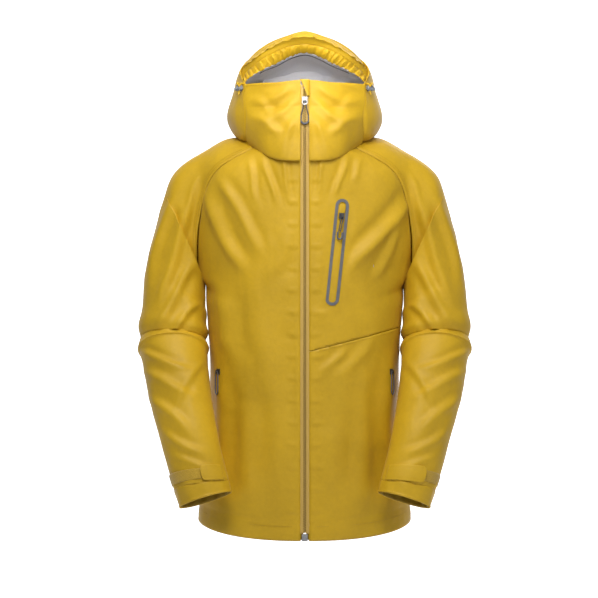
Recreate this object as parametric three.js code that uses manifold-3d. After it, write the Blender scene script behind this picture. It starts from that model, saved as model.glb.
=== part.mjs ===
// Hooded waterproof shell jacket, hanging with closed zips.
// Millimetres, +Z up, -Y is the wearer's front, +X is the wearer's left.
// Pieces are drawn from the hem line upwards and moved at the end, so that the
// origin is the point of the hanger loop that a hook carries.

import * as THREE from 'three';
import { mergeVertices } from 'three/addons/utils/BufferGeometryUtils.js';
import { LoftGeometry } from 'three/addons/geometries/LoftGeometry.js';
import Module from 'manifold-3d';

const wasm = await Module();
wasm.setup();

// ---------------------------------------------------------------- cloth
const FABRIC = 2.4; // wall of the shell
const LAYER = 1.0; // tapes, linings and facings
const GAP = 0.3; // clearance between neighbouring pieces
const SEAM = 0.4; // gap left at a sewn seam

// ---------------------------------------------------------------- body
const CHEST_HALF = 178;
const WAIST_HALF = 170;
const HEM_HALF = 191;
const NECK_HALF = 104;
const FRONT = 140; // centre line of the body to the zip
const BACK = 125;
const NECK_BACK = 76;
const HEM_FRONT_Z = 21;
const HEM_SIDE_Z = 45;
const HEM_BACK_Z = 0;
const WAIST_Z = 330;
const CHEST_Z = 463;
const NECK_Z = 715;
const HEM_FACING = 27;
const ROUND = 2.3; // how square the body's cross-section is
const RING_STEPS = 24; // facets around the body and the hood
const SLEEVE_STEPS = 16; // facets around a sleeve

// ---------------------------------------------------------------- hood
const HOOD_HALF = 138;
const HOOD_BACK = 118;
const HOOD_BASE_Z = 695;
const HOOD_WIDEST_Z = 757;
const COLLAR_Z = 814; // top of the zip and foot of the face opening
const CROWN_Z = 896.5;
const OPENING_HALF = 113;
const OPENING_RISE = 66; // face opening, collar to peak
const PEAK_SEAM_Y = -70; // where the peak is sewn to the crown
const BACK_STRIP_HALF = 50;
const CHIN_HALF = 100;
const FACE_BAND = 14;
const EDGE_BAND = 8;

// ---------------------------------------------------------------- sleeves
const SHOULDER_PIVOT = [CHEST_HALF + 65, 658];
const ELBOW_Z = 360;
const ELBOW_LEAN = 34; // elbow centre in front of the shoulder
const CUFF_LEAN = 155; // cuff centre in front of the shoulder
const CUFF_BAND = 26;
const TAB_WIDTH = 24;
const TAB_FROM_EDGE = 26;
const TAB_LENGTH_LEFT = 66;
const TAB_LENGTH_RIGHT = 36;
const STRIP_WIDTH = 13;

// ---------------------------------------------------------------- zips
const TAPE_HALF = 7; // half of the tape seen between the front panels
const TAPE_TUCK = 5;
const CHAIN_HALF = 2;
const FLAP_HALF = 22;
const ZIP_BOX = [10, 5, 12];
const SLIDER = [9, 2.2, 10]; // width, depth, height of a slider's plate
const PULL_LENGTH = 42;
const GRIP_LENGTH = 14;
const GRIP_HALF = 4;
const GRIP_RADIUS = 1.6;
const CORD_RADIUS = 0.9;
const FRONT_SLIDER_Z = 780;

// ---------------------------------------------------------------- pockets
const CHEST_POCKET = { x: 56, z: 518, length: 185, tilt: 6.2 };
const FRAME_HALF = 11.75;
const FRAME_BAND = 5.2;
const HAND_POCKET = { x: 150, top: 322, bottom: 160 };
const HAND_TAPE_HALF = 5;
const BAG_WIDTH = 92;
const BAG_HEIGHT = 190;

// ---------------------------------------------------------------- trim
const LOOP_HALF = 32; // hanger loop, half of its length
const LOOP_SLACK = 12;
const LOOP_WIDTH = 8;
const LOOP_THICKNESS = 1.2;
const LOOP_Z = 724;
const LOCK_RADIUS = 4.5;
const LOCK_LENGTH = 12;
const BUTTON_RADIUS = 3;
const BUTTON_TRAVEL = 2.5;

// ---------------------------------------------------------------- colours
const MUSTARD = 0xc6a31c;
const TAPE = 0xc8a555;
const GREY = 0x696969;
const LINING = 0xb9bbbe;
const METAL = 0x9a9a9a;
const DARK = 0x3a3a3a;

// ================================================================ solids
const V = (x, y, z) => new THREE.Vector3(x, y, z);
const lerp = THREE.MathUtils.lerp;
const rad = THREE.MathUtils.degToRad;

// A three.js geometry as a solid whose faces point outwards.
function solid(geometry) {
  const bare = new THREE.BufferGeometry().copy(geometry);
  bare.deleteAttribute('normal');
  bare.deleteAttribute('uv');
  const merged = mergeVertices(bare, 1e-3);
  const p = merged.attributes.position;
  const tris = [];
  let volume = 0;
  const a = new THREE.Vector3();
  const b = new THREE.Vector3();
  const c = new THREE.Vector3();
  for (let i = 0; i < merged.index.count; i += 3) {
    const [ia, ib, ic] = [0, 1, 2].map((k) => merged.index.getX(i + k));
    if (ia === ib || ib === ic || ia === ic) continue;
    a.fromBufferAttribute(p, ia);
    b.fromBufferAttribute(p, ib);
    c.fromBufferAttribute(p, ic);
    volume += a.dot(b.cross(c));
    tris.push([ia, ib, ic]);
  }
  const triVerts = new Uint32Array(tris.flatMap((t) => (volume < 0 ? [t[0], t[2], t[1]] : t)));
  return new wasm.Manifold(
    new wasm.Mesh({ numProp: 3, vertProperties: Float32Array.from(p.array), triVerts }),
  );
}

// The largest closed body of a solid, without the offcuts of a cut.
function geometryOf(manifold) {
  const mesh = manifold.getMesh();
  const count = mesh.vertProperties.length / mesh.numProp;
  const root = Array.from({ length: count }, (_, i) => i);
  const find = (i) => {
    while (root[i] !== i) i = root[i];
    return i;
  };
  for (let i = 0; i < mesh.triVerts.length; i += 3) {
    const r = [0, 1, 2].map((k) => find(mesh.triVerts[i + k]));
    const low = Math.min(...r);
    r.forEach((k) => {
      root[k] = low;
    });
  }
  const size = new Map();
  const span = (i) => {
    const v = [0, 1, 2].map((k) =>
      V(...mesh.vertProperties.slice(mesh.triVerts[i + k] * 3, mesh.triVerts[i + k] * 3 + 3)));
    return v[0].dot(v[1].clone().cross(v[2]));
  };
  for (let i = 0; i < mesh.triVerts.length; i += 3) {
    const r = find(mesh.triVerts[i]);
    size.set(r, (size.get(r) ?? 0) + span(i));
  }
  const main = [...size].sort((m, n) => n[1] - m[1])[0][0];
  const kept = [];
  for (let i = 0; i < mesh.triVerts.length; i += 3) {
    if (find(mesh.triVerts[i]) === main) kept.push(...mesh.triVerts.slice(i, i + 3));
  }
  const geometry = new THREE.BufferGeometry();
  geometry.setAttribute('position', new THREE.BufferAttribute(mesh.vertProperties, 3));
  geometry.setIndex(kept);
  const flat = geometry.toNonIndexed();
  flat.computeVertexNormals();
  return flat;
}

const all = (list) => list.reduce((sum, s) => sum.add(s));

// A prism whose outline is drawn in the front view (x, z).
function prismXZ(points, y0, y1) {
  const shape = new THREE.Shape(points.map(([x, z]) => new THREE.Vector2(x, z)));
  const g = new THREE.ExtrudeGeometry(shape, { depth: y1 - y0, bevelEnabled: false });
  return solid(g.rotateX(Math.PI / 2).translate(0, y1, 0));
}

// A prism whose outline is drawn in the side view (y, z).
function prismYZ(points, x0, x1) {
  const shape = new THREE.Shape(points.map(([y, z]) => new THREE.Vector2(y, z)));
  const g = new THREE.ExtrudeGeometry(shape, { depth: x1 - x0, bevelEnabled: false });
  return solid(g.rotateX(Math.PI / 2).rotateZ(Math.PI / 2).translate(x0, 0, 0));
}

function box(x0, x1, y0, y1, z0, z1) {
  const g = new THREE.BoxGeometry(x1 - x0, y1 - y0, z1 - z0);
  return solid(g.translate((x0 + x1) / 2, (y0 + y1) / 2, (z0 + z1) / 2));
}

function tube(points, radius, sides, steps) {
  const section = new THREE.Shape();
  section.absarc(0, 0, radius, 0, 2 * Math.PI);
  const path = new THREE.CatmullRomCurve3(points, false, 'centripetal');
  const g = new THREE.ExtrudeGeometry(section, {
    steps, curveSegments: sides / 2, bevelEnabled: false, extrudePath: path,
  });
  return solid(g);
}

// One ring of a superellipse: half width, front depth and back depth.
function ring(half, front, back, height, steps) {
  const points = [];
  for (let i = 0; i < steps; i += 1) {
    const a = (2 * Math.PI * i) / steps;
    const c = Math.cos(a);
    const s = Math.sin(a);
    const x = half * Math.sign(c) * Math.abs(c) ** (2 / ROUND);
    const y = (s < 0 ? front : back) * Math.sign(s) * Math.abs(s) ** (2 / ROUND);
    points.push(V(x, y, height(x, y, s)));
  }
  return points;
}

// ================================================================ body form
// height, half width, back depth
const TRUNK = [
  [HEM_FRONT_Z, HEM_HALF, BACK],
  [110, lerp(HEM_HALF, WAIST_HALF, 0.42), BACK + 1],
  [160, WAIST_HALF + 1.5, BACK],
  [WAIST_Z, WAIST_HALF, BACK],
  [400, lerp(WAIST_HALF, CHEST_HALF, 0.5), BACK],
  [CHEST_Z, CHEST_HALF, BACK],
  [540, CHEST_HALF + 8, BACK - 4],
  [600, CHEST_HALF, BACK - 10],
  [650, lerp(CHEST_HALF, NECK_HALF, 0.38), lerp(BACK, NECK_BACK, 0.5)],
  [690, NECK_HALF + 14, NECK_BACK + 9],
  [NECK_Z, NECK_HALF, NECK_BACK],
  [NECK_Z + 45, NECK_HALF - 10, NECK_BACK - 6],
];

function hemZ(s) {
  return lerp(HEM_SIDE_Z, s < 0 ? HEM_FRONT_Z : HEM_BACK_Z, Math.abs(s) ** 1.2);
}

// The body's outer form moved inwards by inset; spare runs past both ends.
function trunk(inset, spare = 0) {
  const rows = [...TRUNK];
  const last = rows[rows.length - 1];
  if (spare) rows.push([last[0] + spare, last[1], last[2]]);
  const sections = rows.map(([z, half, back]) => {
    const fade = Math.max(0, 1 - (z - HEM_FRONT_Z) / 140);
    const height = (x, y, s) => z + (hemZ(s) - HEM_FRONT_Z) * fade;
    return ring(half - inset, FRONT - inset, back - inset, height, RING_STEPS);
  });
  if (spare) sections.unshift(sections[0].map((p) => V(p.x, p.y, p.z - spare)));
  return solid(new LoftGeometry(sections, { capStart: true, capEnd: true }));
}

const trunkLayer = (outer, inner) => trunk(outer, 4).subtract(trunk(inner, 8));

// How far out the body's surface lies at a point of the front view.
function halfAt(z) {
  const k = TRUNK.findIndex((row) => row[0] > z);
  const [z0, a] = TRUNK[k - 1];
  const [z1, b] = TRUNK[k];
  return lerp(a, b, (z - z0) / (z1 - z0));
}

function frontAt(x, z) {
  return -FRONT * (1 - Math.abs(x / halfAt(z)) ** ROUND) ** (1 / ROUND);
}

function normalAt(x, z) {
  const y = frontAt(x, z);
  const half = halfAt(z);
  const nx = (Math.sign(x) * Math.abs(x / half) ** (ROUND - 1)) / half;
  const ny = -(Math.abs(y / FRONT) ** (ROUND - 1)) / FRONT;
  return V(nx, ny, 0).normalize();
}

// ================================================================ sleeve form
// Outer and inner edge in the front view, how far forward, half depth.
const SIDE = CHEST_HALF;
const forearm = (t) => -lerp(ELBOW_LEAN, CUFF_LEAN, t);
const SLEEVE = [
  [[SIDE - 78, 744], [SIDE - 100, 610], 4, 84],
  [[SIDE - 38, 729], [SIDE - 66, 570], 3, 82],
  [[SIDE + 2, 703], [SIDE - 36, 530], 2, 78],
  [[SIDE + 36, 682], [SIDE - 16, 500], 0, 73],
  [[SIDE + 60, 658], [SIDE - 6, 478], -1, 69],
  [[SIDE + 73, 625], [SIDE - 1, 464], -2, 66],
  [[SIDE + 86, 580], [SIDE, 454], -4, 63],
  [[SIDE + 100, 517], [SIDE, 436], -8, 61],
  [[SIDE + 109, 454], [SIDE - 1, 408], -15, 60],
  [[SIDE + 117, ELBOW_Z], [SIDE - 5, ELBOW_Z], -ELBOW_LEAN, 57],
  [[SIDE + 109, 325], [SIDE - 8, 322], forearm(0.2), 55],
  [[SIDE + 93, 262], [SIDE - 17, 258], forearm(0.51), 53],
  [[SIDE + 72, 193], [SIDE - 31, 190], forearm(0.75), 50],
  [[SIDE + 52, 128], [SIDE - 45, 138], forearm(0.92), 46],
  [[SIDE + 35, 80], [SIDE - 52, 107], forearm(1), 43],
];

function sleeveFrames(side) {
  const centre = SLEEVE.map(([o, i, y]) => V((side * (o[0] + i[0])) / 2, y, (o[1] + i[1]) / 2));
  return SLEEVE.map(([o, i, , depth], k) => {
    const across = V(side * (o[0] - i[0]), 0, o[1] - i[1]);
    const width = across.length() / 2;
    across.normalize();
    const before = centre[Math.max(0, k - 1)];
    const after = centre[Math.min(centre.length - 1, k + 1)];
    const along = after.clone().sub(before).normalize();
    const front = along.clone().cross(across).normalize();
    if (front.y > 0) front.negate();
    return { centre: centre[k], across, front, along, width, depth };
  });
}

function sleeve(side, inset, spare = 0) {
  const frames = sleeveFrames(1);
  const sections = frames.map((f) => {
    const points = [];
    for (let i = 0; i < SLEEVE_STEPS; i += 1) {
      const a = (2 * Math.PI * i) / SLEEVE_STEPS;
      points.push(f.centre.clone()
        .addScaledVector(f.across, (f.width - inset) * Math.cos(a))
        .addScaledVector(f.front, (f.depth - inset) * Math.sin(a)));
    }
    return points;
  });
  if (spare) {
    const out = cuffFrame(1).out;
    sections.push(sections.at(-1).map((p) => p.clone().addScaledVector(out, spare)));
  }
  return solid(new LoftGeometry(sections, { capStart: true, capEnd: true }).scale(side, 1, 1));
}

const sleeveLayer = (side, outer, inner) => sleeve(side, outer).subtract(sleeve(side, inner, 6));

// The cuff's own frame: across the hand, towards the front, out of the sleeve.
function cuffFrame(side) {
  const end = sleeveFrames(side).at(-1);
  const out = end.front.clone().cross(end.across).normalize();
  if (out.z > 0) out.negate();
  return { ...end, out };
}

// A block in the cuff's frame: across, towards the front, and back from the edge.
function cuffBlock(side, a, b, f0, f1, from, to) {
  const f = cuffFrame(side);
  const g = new THREE.BoxGeometry(b - a, f1 - f0, to - from);
  g.translate((a + b) / 2, (f0 + f1) / 2, -(from + to) / 2);
  g.applyMatrix4(new THREE.Matrix4().makeBasis(f.across, f.front, f.out).setPosition(f.centre));
  return solid(g);
}

// ================================================================ hood form
// front height, half width, front depth, back depth, rise to the nape
const HOOD = [
  [HOOD_BASE_Z, NECK_HALF - 4, FRONT, NECK_BACK - 2, 43],
  [HOOD_BASE_Z + 13, NECK_HALF + 12, FRONT, NECK_BACK + 12, 34],
  [HOOD_BASE_Z + 30, NECK_HALF + 24, FRONT, NECK_BACK + 25, 24],
  [HOOD_WIDEST_Z, HOOD_HALF, FRONT, HOOD_BACK - 5, 10],
  [COLLAR_Z, HOOD_HALF - 14, FRONT, HOOD_BACK, 0],
  [COLLAR_Z + 27, HOOD_HALF - 24, FRONT + 1, HOOD_BACK - 8, 0],
  [CROWN_Z - 34, HOOD_HALF - 44, FRONT, HOOD_BACK - 24, 0],
  [CROWN_Z - 16, HOOD_HALF - 72, FRONT - 7, HOOD_BACK - 48, 0],
  [CROWN_Z - 5, HOOD_HALF - 101, FRONT - 22, HOOD_BACK - 76, 0],
  [CROWN_Z, HOOD_HALF - 125, FRONT - 50, HOOD_BACK - 104, 0],
];

function hood(inset, spare = 0) {
  const sections = HOOD.map(([z, half, front, back, rise], k) => {
    const top = k > 5 ? inset * (k - 5) * 0.25 : 0;
    const height = (x, y) => z - top + (rise * (y + front)) / (front + back);
    return ring(half - inset, front - inset, back - inset, height, RING_STEPS);
  });
  if (spare) sections.unshift(sections[0].map((p) => V(p.x, p.y, p.z - spare)));
  return solid(new LoftGeometry(sections, { capStart: true, capEnd: true }));
}

const hoodLayer = (outer, inner) => hood(outer).subtract(hood(inner, 6));

// Arch over the face opening, closed along a lower edge.
function arch(half, rise, lower) {
  const points = [];
  for (let i = 0; i <= 14; i += 1) {
    const a = (Math.PI * i) / 14;
    points.push([half * Math.cos(a), COLLAR_Z - 1 + rise * Math.sin(a)]);
  }
  return [...points, ...lower];
}

const collarEdge = [
  [-CHIN_HALF, COLLAR_Z - 4.5],
  [-50, COLLAR_Z - 2],
  [0, COLLAR_Z],
  [50, COLLAR_Z - 2],
  [CHIN_HALF, COLLAR_Z - 4.5],
];

// Everything in front of the seam that joins the peak to the crown.
function beforePeakSeam(shift) {
  return prismYZ([
    [-260, COLLAR_Z - 2], [PEAK_SEAM_Y - shift, COLLAR_Z - 2],
    [PEAK_SEAM_Y + 8 - shift, CROWN_Z + 40], [-260, CROWN_Z + 40],
  ], -300, 300);
}

// ================================================================ shells
const hollow = (outer, inner) => all(outer).subtract(all(inner));
const bodyShell = hollow(
  [trunk(0), sleeve(1, 0), sleeve(-1, 0)],
  [trunk(FABRIC, 8), sleeve(1, FABRIC, 8), sleeve(-1, FABRIC, 8)],
);
const hoodSolid = hood(-GAP, 1);
const hoodShell = hood(0).subtract(hood(FABRIC, 8));

const ARMPIT_Z = 480;
const raglan = [
  [CHEST_HALF - 96, 694], [CHEST_HALF - 53, 681], [CHEST_HALF - 25, 665],
  [CHEST_HALF - 9, 643], [CHEST_HALF - 1, 619], [CHEST_HALF + 7, 581],
  [CHEST_HALF + 11, 551], [CHEST_HALF + 12, 510], [CHEST_HALF + 11, ARMPIT_Z],
];
const foldLine = [
  SHOULDER_PIVOT, [SIDE + 50, 592], [SIDE + 39, 546], [SIDE + 27, 515], [SIDE + 22, ARMPIT_Z],
];
const mirror = (points, side) => points.map(([x, z]) => [side * x, z]);

// Everything on the sleeve's side of the raglan seam, grown by a seam gap.
function sleeveSide(side, grow) {
  const upper = prismXZ(mirror([
    [CHEST_HALF - 96 - grow, 860], ...raglan.map(([x, z]) => [x - grow, z - grow * 0.5]),
    [CHEST_HALF + 160, ARMPIT_Z - grow * 0.5], [CHEST_HALF + 160, 860],
  ], side), -200, 200);
  const lower = sleeve(side, -grow - 0.05, 4).intersect(
    box(side > 0 ? 0 : -400, side > 0 ? 400 : 0, -300, 200, -100, ARMPIT_Z + 0.05),
  );
  return upper.add(lower);
}

// Everything that moves with the arm.
function armSide(side, grow) {
  const [px, pz] = SHOULDER_PIVOT;
  return prismXZ(mirror([
    [px - grow, pz + 0.5], ...foldLine.slice(1).map(([x, z]) => [x - grow, z + grow * 0.5]),
    [60, ARMPIT_Z + grow * 0.5], [60, -60], [px + 160, -60], [px + 160, pz + 0.5],
  ], side), -400, 200);
}

const belowElbow = (grow) => box(-500, 500, -400, 200, -100, ELBOW_Z + grow);

// ================================================================ scene
const jacket = new THREE.Group();

function piece(name, manifold, color, roughness = 0.6, metalness = 0) {
  const mesh = new THREE.Mesh(
    geometryOf(manifold),
    new THREE.MeshStandardMaterial({ color, roughness, metalness }),
  );
  mesh.name = name;
  jacket.add(mesh);
}

// ---------------------------------------------------------------- body panels
const zipGap = box(-TAPE_HALF, TAPE_HALF, -FRONT - 60, -FRONT / 2, -60, CROWN_Z + 60);
const torso = bodyShell.subtract(sleeveSide(1, SEAM)).subtract(sleeveSide(-1, SEAM))
  .subtract(hoodSolid).subtract(zipGap);
const backHalf = box(-300, 300, 0, 300, -60, 900);
const frontHalf = box(-300, 300, -300, -SEAM, -60, 900);

function pocketOutline(half, spare) {
  const { x, z, length, tilt } = CHEST_POCKET;
  const shape = [];
  const run = length / 2 - FRAME_HALF;
  for (let i = 0; i <= 16; i += 1) {
    const a = (Math.PI * i) / 8 + (i > 8 ? -Math.PI / 8 : 0);
    const up = i <= 8 ? 1 : -1;
    const t = i <= 8 ? (Math.PI * i) / 8 : Math.PI + (Math.PI * (i - 8)) / 8;
    shape.push([(half + spare) * Math.cos(t), up * run + (half + spare) * Math.sin(t), a]);
  }
  const c = Math.cos(rad(-tilt));
  const s = Math.sin(rad(-tilt));
  return shape.map(([u, w]) => [x + u * c - w * s, z + u * s + w * c]);
}

const chestSlot = (spare) => prismXZ(
  pocketOutline(FRAME_HALF - FRAME_BAND, spare), -FRONT - 60, -FRONT / 2,
);

function handSlot(side, half, spare) {
  const { x, top, bottom } = HAND_POCKET;
  return prismXZ(mirror([
    [x - half, bottom - spare], [x + half, bottom - spare],
    [x + half, top + spare], [x - half, top + spare],
  ], side), -FRONT, 0);
}

const diagonal = [[TAPE_HALF, 347], [70, 362], [131, 379], [CHEST_HALF + 20, 392]];
const belowDiagonal = (grow) => prismXZ([
  ...diagonal.map(([x, z]) => [x, z + grow]), [CHEST_HALF + 20, -60], [TAPE_HALF, -60],
], -300, 0);

const front = torso.intersect(frontHalf)
  .subtract(handSlot(1, HAND_TAPE_HALF, 0)).subtract(handSlot(-1, HAND_TAPE_HALF, 0));
const leftHalf = box(0, 400, -400, 200, -100, 1000);
const rightHalf = box(-400, 0, -400, 200, -100, 1000);
const frontLeft = front.intersect(leftHalf);
piece('front_right', front.intersect(rightHalf), MUSTARD);
piece('front_left_upper', frontLeft.subtract(belowDiagonal(SEAM)).subtract(chestSlot(GAP)), MUSTARD);
piece('front_left_lower', frontLeft.intersect(belowDiagonal(0)), MUSTARD);
piece('back_panel', torso.intersect(backHalf), MUSTARD);

// ---------------------------------------------------------------- sleeves
for (const [side, name] of [[1, 'left'], [-1, 'right']]) {
  const whole = bodyShell.intersect(sleeveSide(side, 0)).subtract(hoodSolid);
  const arm = whole.intersect(armSide(side, 0));
  const end = cuffBlock(side, -90, 90, -90, 90, -30, CUFF_BAND);
  const endGrown = cuffBlock(side, -90, 90, -90, 90, -30, CUFF_BAND + SEAM);
  piece(`shoulder_${name}`, whole.subtract(armSide(side, SEAM)), MUSTARD);
  piece(`sleeve_${name}_upper`, arm.subtract(belowElbow(SEAM)), MUSTARD);
  piece(`sleeve_${name}_lower`, arm.intersect(belowElbow(0)).subtract(endGrown), MUSTARD);
  piece(`cuff_${name}`, arm.intersect(belowElbow(0)).intersect(end), MUSTARD);

  const f = cuffFrame(side);
  const tabTo = TAB_FROM_EDGE + TAB_WIDTH;
  const tabLength = side > 0 ? TAB_LENGTH_LEFT : TAB_LENGTH_RIGHT;
  const stripFrom = TAB_FROM_EDGE + (TAB_WIDTH - STRIP_WIDTH) / 2;
  const skin = sleeveLayer(side, -GAP - LAYER, -GAP);
  const root = -f.width + 3;
  piece(`cuff_strip_${name}`, skin.intersect(
    cuffBlock(side, root + 20, 90, 4, 90, stripFrom, stripFrom + STRIP_WIDTH)), DARK);
  piece(`cuff_tab_${name}`,
    sleeveLayer(side, -2 * GAP - LAYER - 2, -2 * GAP - LAYER).intersect(
      cuffBlock(side, root, root + tabLength, 2, 90, TAB_FROM_EDGE, tabTo)), MUSTARD);
}

// ---------------------------------------------------------------- hood panels
const opening = prismXZ(arch(OPENING_HALF, OPENING_RISE, collarEdge), -260, PEAK_SEAM_Y + 14);
const hoodCloth = hoodShell.subtract(opening)
  .subtract(box(-TAPE_HALF, TAPE_HALF, -260, -60, 600, COLLAR_Z + 1));
const chinOutline = (grow) => prismXZ([
  [-CHIN_HALF - grow, COLLAR_Z + 2], [-CHIN_HALF - grow, HOOD_BASE_Z + 21],
  [-CHIN_HALF + 16 - grow, HOOD_BASE_Z - 30], [CHIN_HALF - 16 + grow, HOOD_BASE_Z - 30],
  [CHIN_HALF + grow, HOOD_BASE_Z + 21], [CHIN_HALF + grow, COLLAR_Z + 2],
], -260, -30);
const backStrip = (grow) => box(-BACK_STRIP_HALF - grow, BACK_STRIP_HALF + grow,
  PEAK_SEAM_Y - 1, 260, 600, CROWN_Z + 40);
const chin = hoodCloth.intersect(chinOutline(0)).subtract(beforePeakSeam(-SEAM));
const rear = hoodCloth.subtract(beforePeakSeam(-SEAM));
const sides = rear.subtract(backStrip(SEAM)).subtract(chinOutline(SEAM));
piece('chin_left', chin.intersect(leftHalf), MUSTARD);
piece('chin_right', chin.intersect(rightHalf), MUSTARD);
piece('hood_side_left', sides.intersect(leftHalf), MUSTARD);
piece('hood_side_right', sides.intersect(rightHalf), MUSTARD);
piece('hood_back', rear.intersect(backStrip(0)), MUSTARD);
piece('hood_brim', hoodCloth.intersect(beforePeakSeam(0)), MUSTARD);

const archBand = (half, rise, band) => prismXZ(
  arch(half, rise, []), -260, PEAK_SEAM_Y + 14,
).subtract(prismXZ(arch(half - band * 0.7, rise - band, []), -300, 0));
piece('brim_edge', hoodLayer(-GAP - LAYER, -GAP).intersect(beforePeakSeam(1))
  .intersect(archBand(OPENING_HALF + EDGE_BAND * 0.7, OPENING_RISE + EDGE_BAND, EDGE_BAND)), MUSTARD);
piece('hood_face_band', hoodLayer(FABRIC + GAP, FABRIC + GAP + LAYER)
  .intersect(beforePeakSeam(1))
  .intersect(archBand(OPENING_HALF + 3, OPENING_RISE + 6, FACE_BAND + 6)), MUSTARD);

const liningSkin = hoodLayer(FABRIC + GAP, FABRIC + GAP + LAYER);
piece('hood_lining', liningSkin.subtract(beforePeakSeam(-2)).intersect(prismYZ([
  [PEAK_SEAM_Y + 6, COLLAR_Z - 14 + SEAM], [HOOD_BACK + 20, COLLAR_Z + 28 + SEAM],
  [HOOD_BACK + 20, CROWN_Z + 40], [PEAK_SEAM_Y + 6, CROWN_Z + 40],
], -300, 300)), LINING);
piece('neck_lining', liningSkin.intersect(prismYZ([
  [PEAK_SEAM_Y + 6, HOOD_WIDEST_Z + 8], [PEAK_SEAM_Y + 6, COLLAR_Z - 14],
  [HOOD_BACK + 20, COLLAR_Z + 28], [HOOD_BACK + 20, HOOD_WIDEST_Z + 8],
], -300, 300)), LINING);

// ---------------------------------------------------------------- inner pieces
const hemRing = trunkLayer(FABRIC + GAP, FABRIC + GAP + LAYER);
const hemBand = solid(new LoftGeometry([-40, HEM_FACING].map((lift) => ring(
  HEM_HALF + 30, FRONT + 30, BACK + 30, (x, y, s) => hemZ(s) + lift, RING_STEPS,
)), { capStart: true, capEnd: true }));
piece('hem_facing', hemRing.intersect(hemBand).subtract(
  box(-FLAP_HALF - 8, FLAP_HALF + 8, -FRONT - 30, -FRONT / 2, -60, 200)), MUSTARD);

const bagSkin = trunkLayer(FABRIC + GAP, FABRIC + GAP + LAYER);
const bagFrom = HAND_POCKET.x + HAND_TAPE_HALF + 6;
for (const [side, name] of [[1, 'left'], [-1, 'right']]) {
  piece(`pocket_bag_${name}`, bagSkin.intersect(prismXZ(mirror([
    [bagFrom - BAG_WIDTH, HAND_POCKET.top - BAG_HEIGHT], [bagFrom, HAND_POCKET.bottom - 12],
    [bagFrom, HAND_POCKET.top + 8], [bagFrom - BAG_WIDTH, HAND_POCKET.top + 8],
  ], side), -FRONT - 10, -20)), LINING);
}
piece('pocket_bag_chest', bagSkin.intersect(prismXZ([
  [FLAP_HALF + 6, CHEST_POCKET.z - CHEST_POCKET.length / 2 - 12],
  [FLAP_HALF + 6 + BAG_WIDTH, CHEST_POCKET.z - CHEST_POCKET.length / 2 - 12],
  [FLAP_HALF + 6 + BAG_WIDTH, CHEST_POCKET.z + CHEST_POCKET.length / 2 + 10],
  [FLAP_HALF + 6, CHEST_POCKET.z + CHEST_POCKET.length / 2 + 10],
], -FRONT - 10, -20)), LINING);

// ---------------------------------------------------------------- front zip
const zipFoot = HEM_FRONT_Z + ZIP_BOX[2] + GAP;
const zipTop = COLLAR_Z - 6;
const tapeY = -FRONT + FABRIC + 2;
for (const [side, name] of [[1, 'left'], [-1, 'right']]) {
  const x0 = side * (CHAIN_HALF + GAP);
  const x1 = side * (TAPE_HALF + TAPE_TUCK);
  piece(`zip_tape_${name}`, box(Math.min(x0, x1), Math.max(x0, x1),
    tapeY, tapeY + LAYER, zipFoot, zipTop), TAPE);
}
const chainY = -FRONT + 1;
piece('zip_chain', box(-CHAIN_HALF, CHAIN_HALF, chainY, tapeY + LAYER, zipFoot, zipTop - 8), TAPE);
piece('zip_box', box(-ZIP_BOX[0] / 2, ZIP_BOX[0] / 2, -FRONT - 1, -FRONT - 1 + ZIP_BOX[1],
  HEM_FRONT_Z, HEM_FRONT_Z + ZIP_BOX[2]), METAL, 0.35, 0.8);
piece('storm_flap', box(-FLAP_HALF / 2, FLAP_HALF, tapeY + LAYER + GAP,
  tapeY + 2 * LAYER + GAP, zipFoot + 1, zipTop - 4), MUSTARD);

// ---------------------------------------------------------------- sliders
// Drawn facing the front on the zip at the origin, then stood on the cloth.
const plateY = -0.6 - SLIDER[1];
const holeHalf = CORD_RADIUS + GAP;
const pivotY = plateY - 0.8 - holeHalf;
const crownY = pivotY - holeHalf - 1;

function sliderSolid() {
  const plate = box(-SLIDER[0] / 2, SLIDER[0] / 2, plateY, plateY + SLIDER[1],
    -SLIDER[2] / 2, SLIDER[2] / 2);
  const crown = prismYZ([
    [plateY + 0.5, -SLIDER[2] / 2 + 1], [crownY, -2.6], [crownY, 2.6],
    [plateY + 0.5, SLIDER[2] / 2 - 1],
  ], -1.2, 1.2);
  const hole = box(-3, 3, pivotY - holeHalf, pivotY + holeHalf, -holeHalf, holeHalf);
  return plate.add(crown).subtract(hole);
}

function cordSolid() {
  const end = -PULL_LENGTH + GRIP_LENGTH + GAP;
  return tube([
    V(-GRIP_HALF, pivotY, end), V(-GRIP_HALF, pivotY, end / 2), V(-GRIP_HALF, pivotY, -4),
    V(-GRIP_HALF + 0.8, pivotY, -1), V(-1.8, pivotY, 0), V(1.8, pivotY, 0),
    V(GRIP_HALF - 0.8, pivotY, -1), V(GRIP_HALF, pivotY, -4), V(GRIP_HALF, pivotY, end / 2),
    V(GRIP_HALF, pivotY, end),
  ], CORD_RADIUS, 6, 18);
}

function gripSolid() {
  const top = -PULL_LENGTH + GRIP_LENGTH;
  const low = -PULL_LENGTH + GRIP_RADIUS;
  return tube([
    V(-GRIP_HALF, pivotY, top), V(-GRIP_HALF, pivotY, low + 5), V(-3, pivotY, low + 1.4),
    V(0, pivotY, low), V(3, pivotY, low + 1.4), V(GRIP_HALF, pivotY, low + 5),
    V(GRIP_HALF, pivotY, top),
  ], GRIP_RADIUS, 8, 12);
}

function standOn(manifold, point, normal, up) {
  const across = up.clone().cross(normal).normalize();
  const m = new THREE.Matrix4().makeBasis(across, normal.clone().negate(), up).setPosition(point);
  return manifold.transform(m.elements);
}

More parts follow.
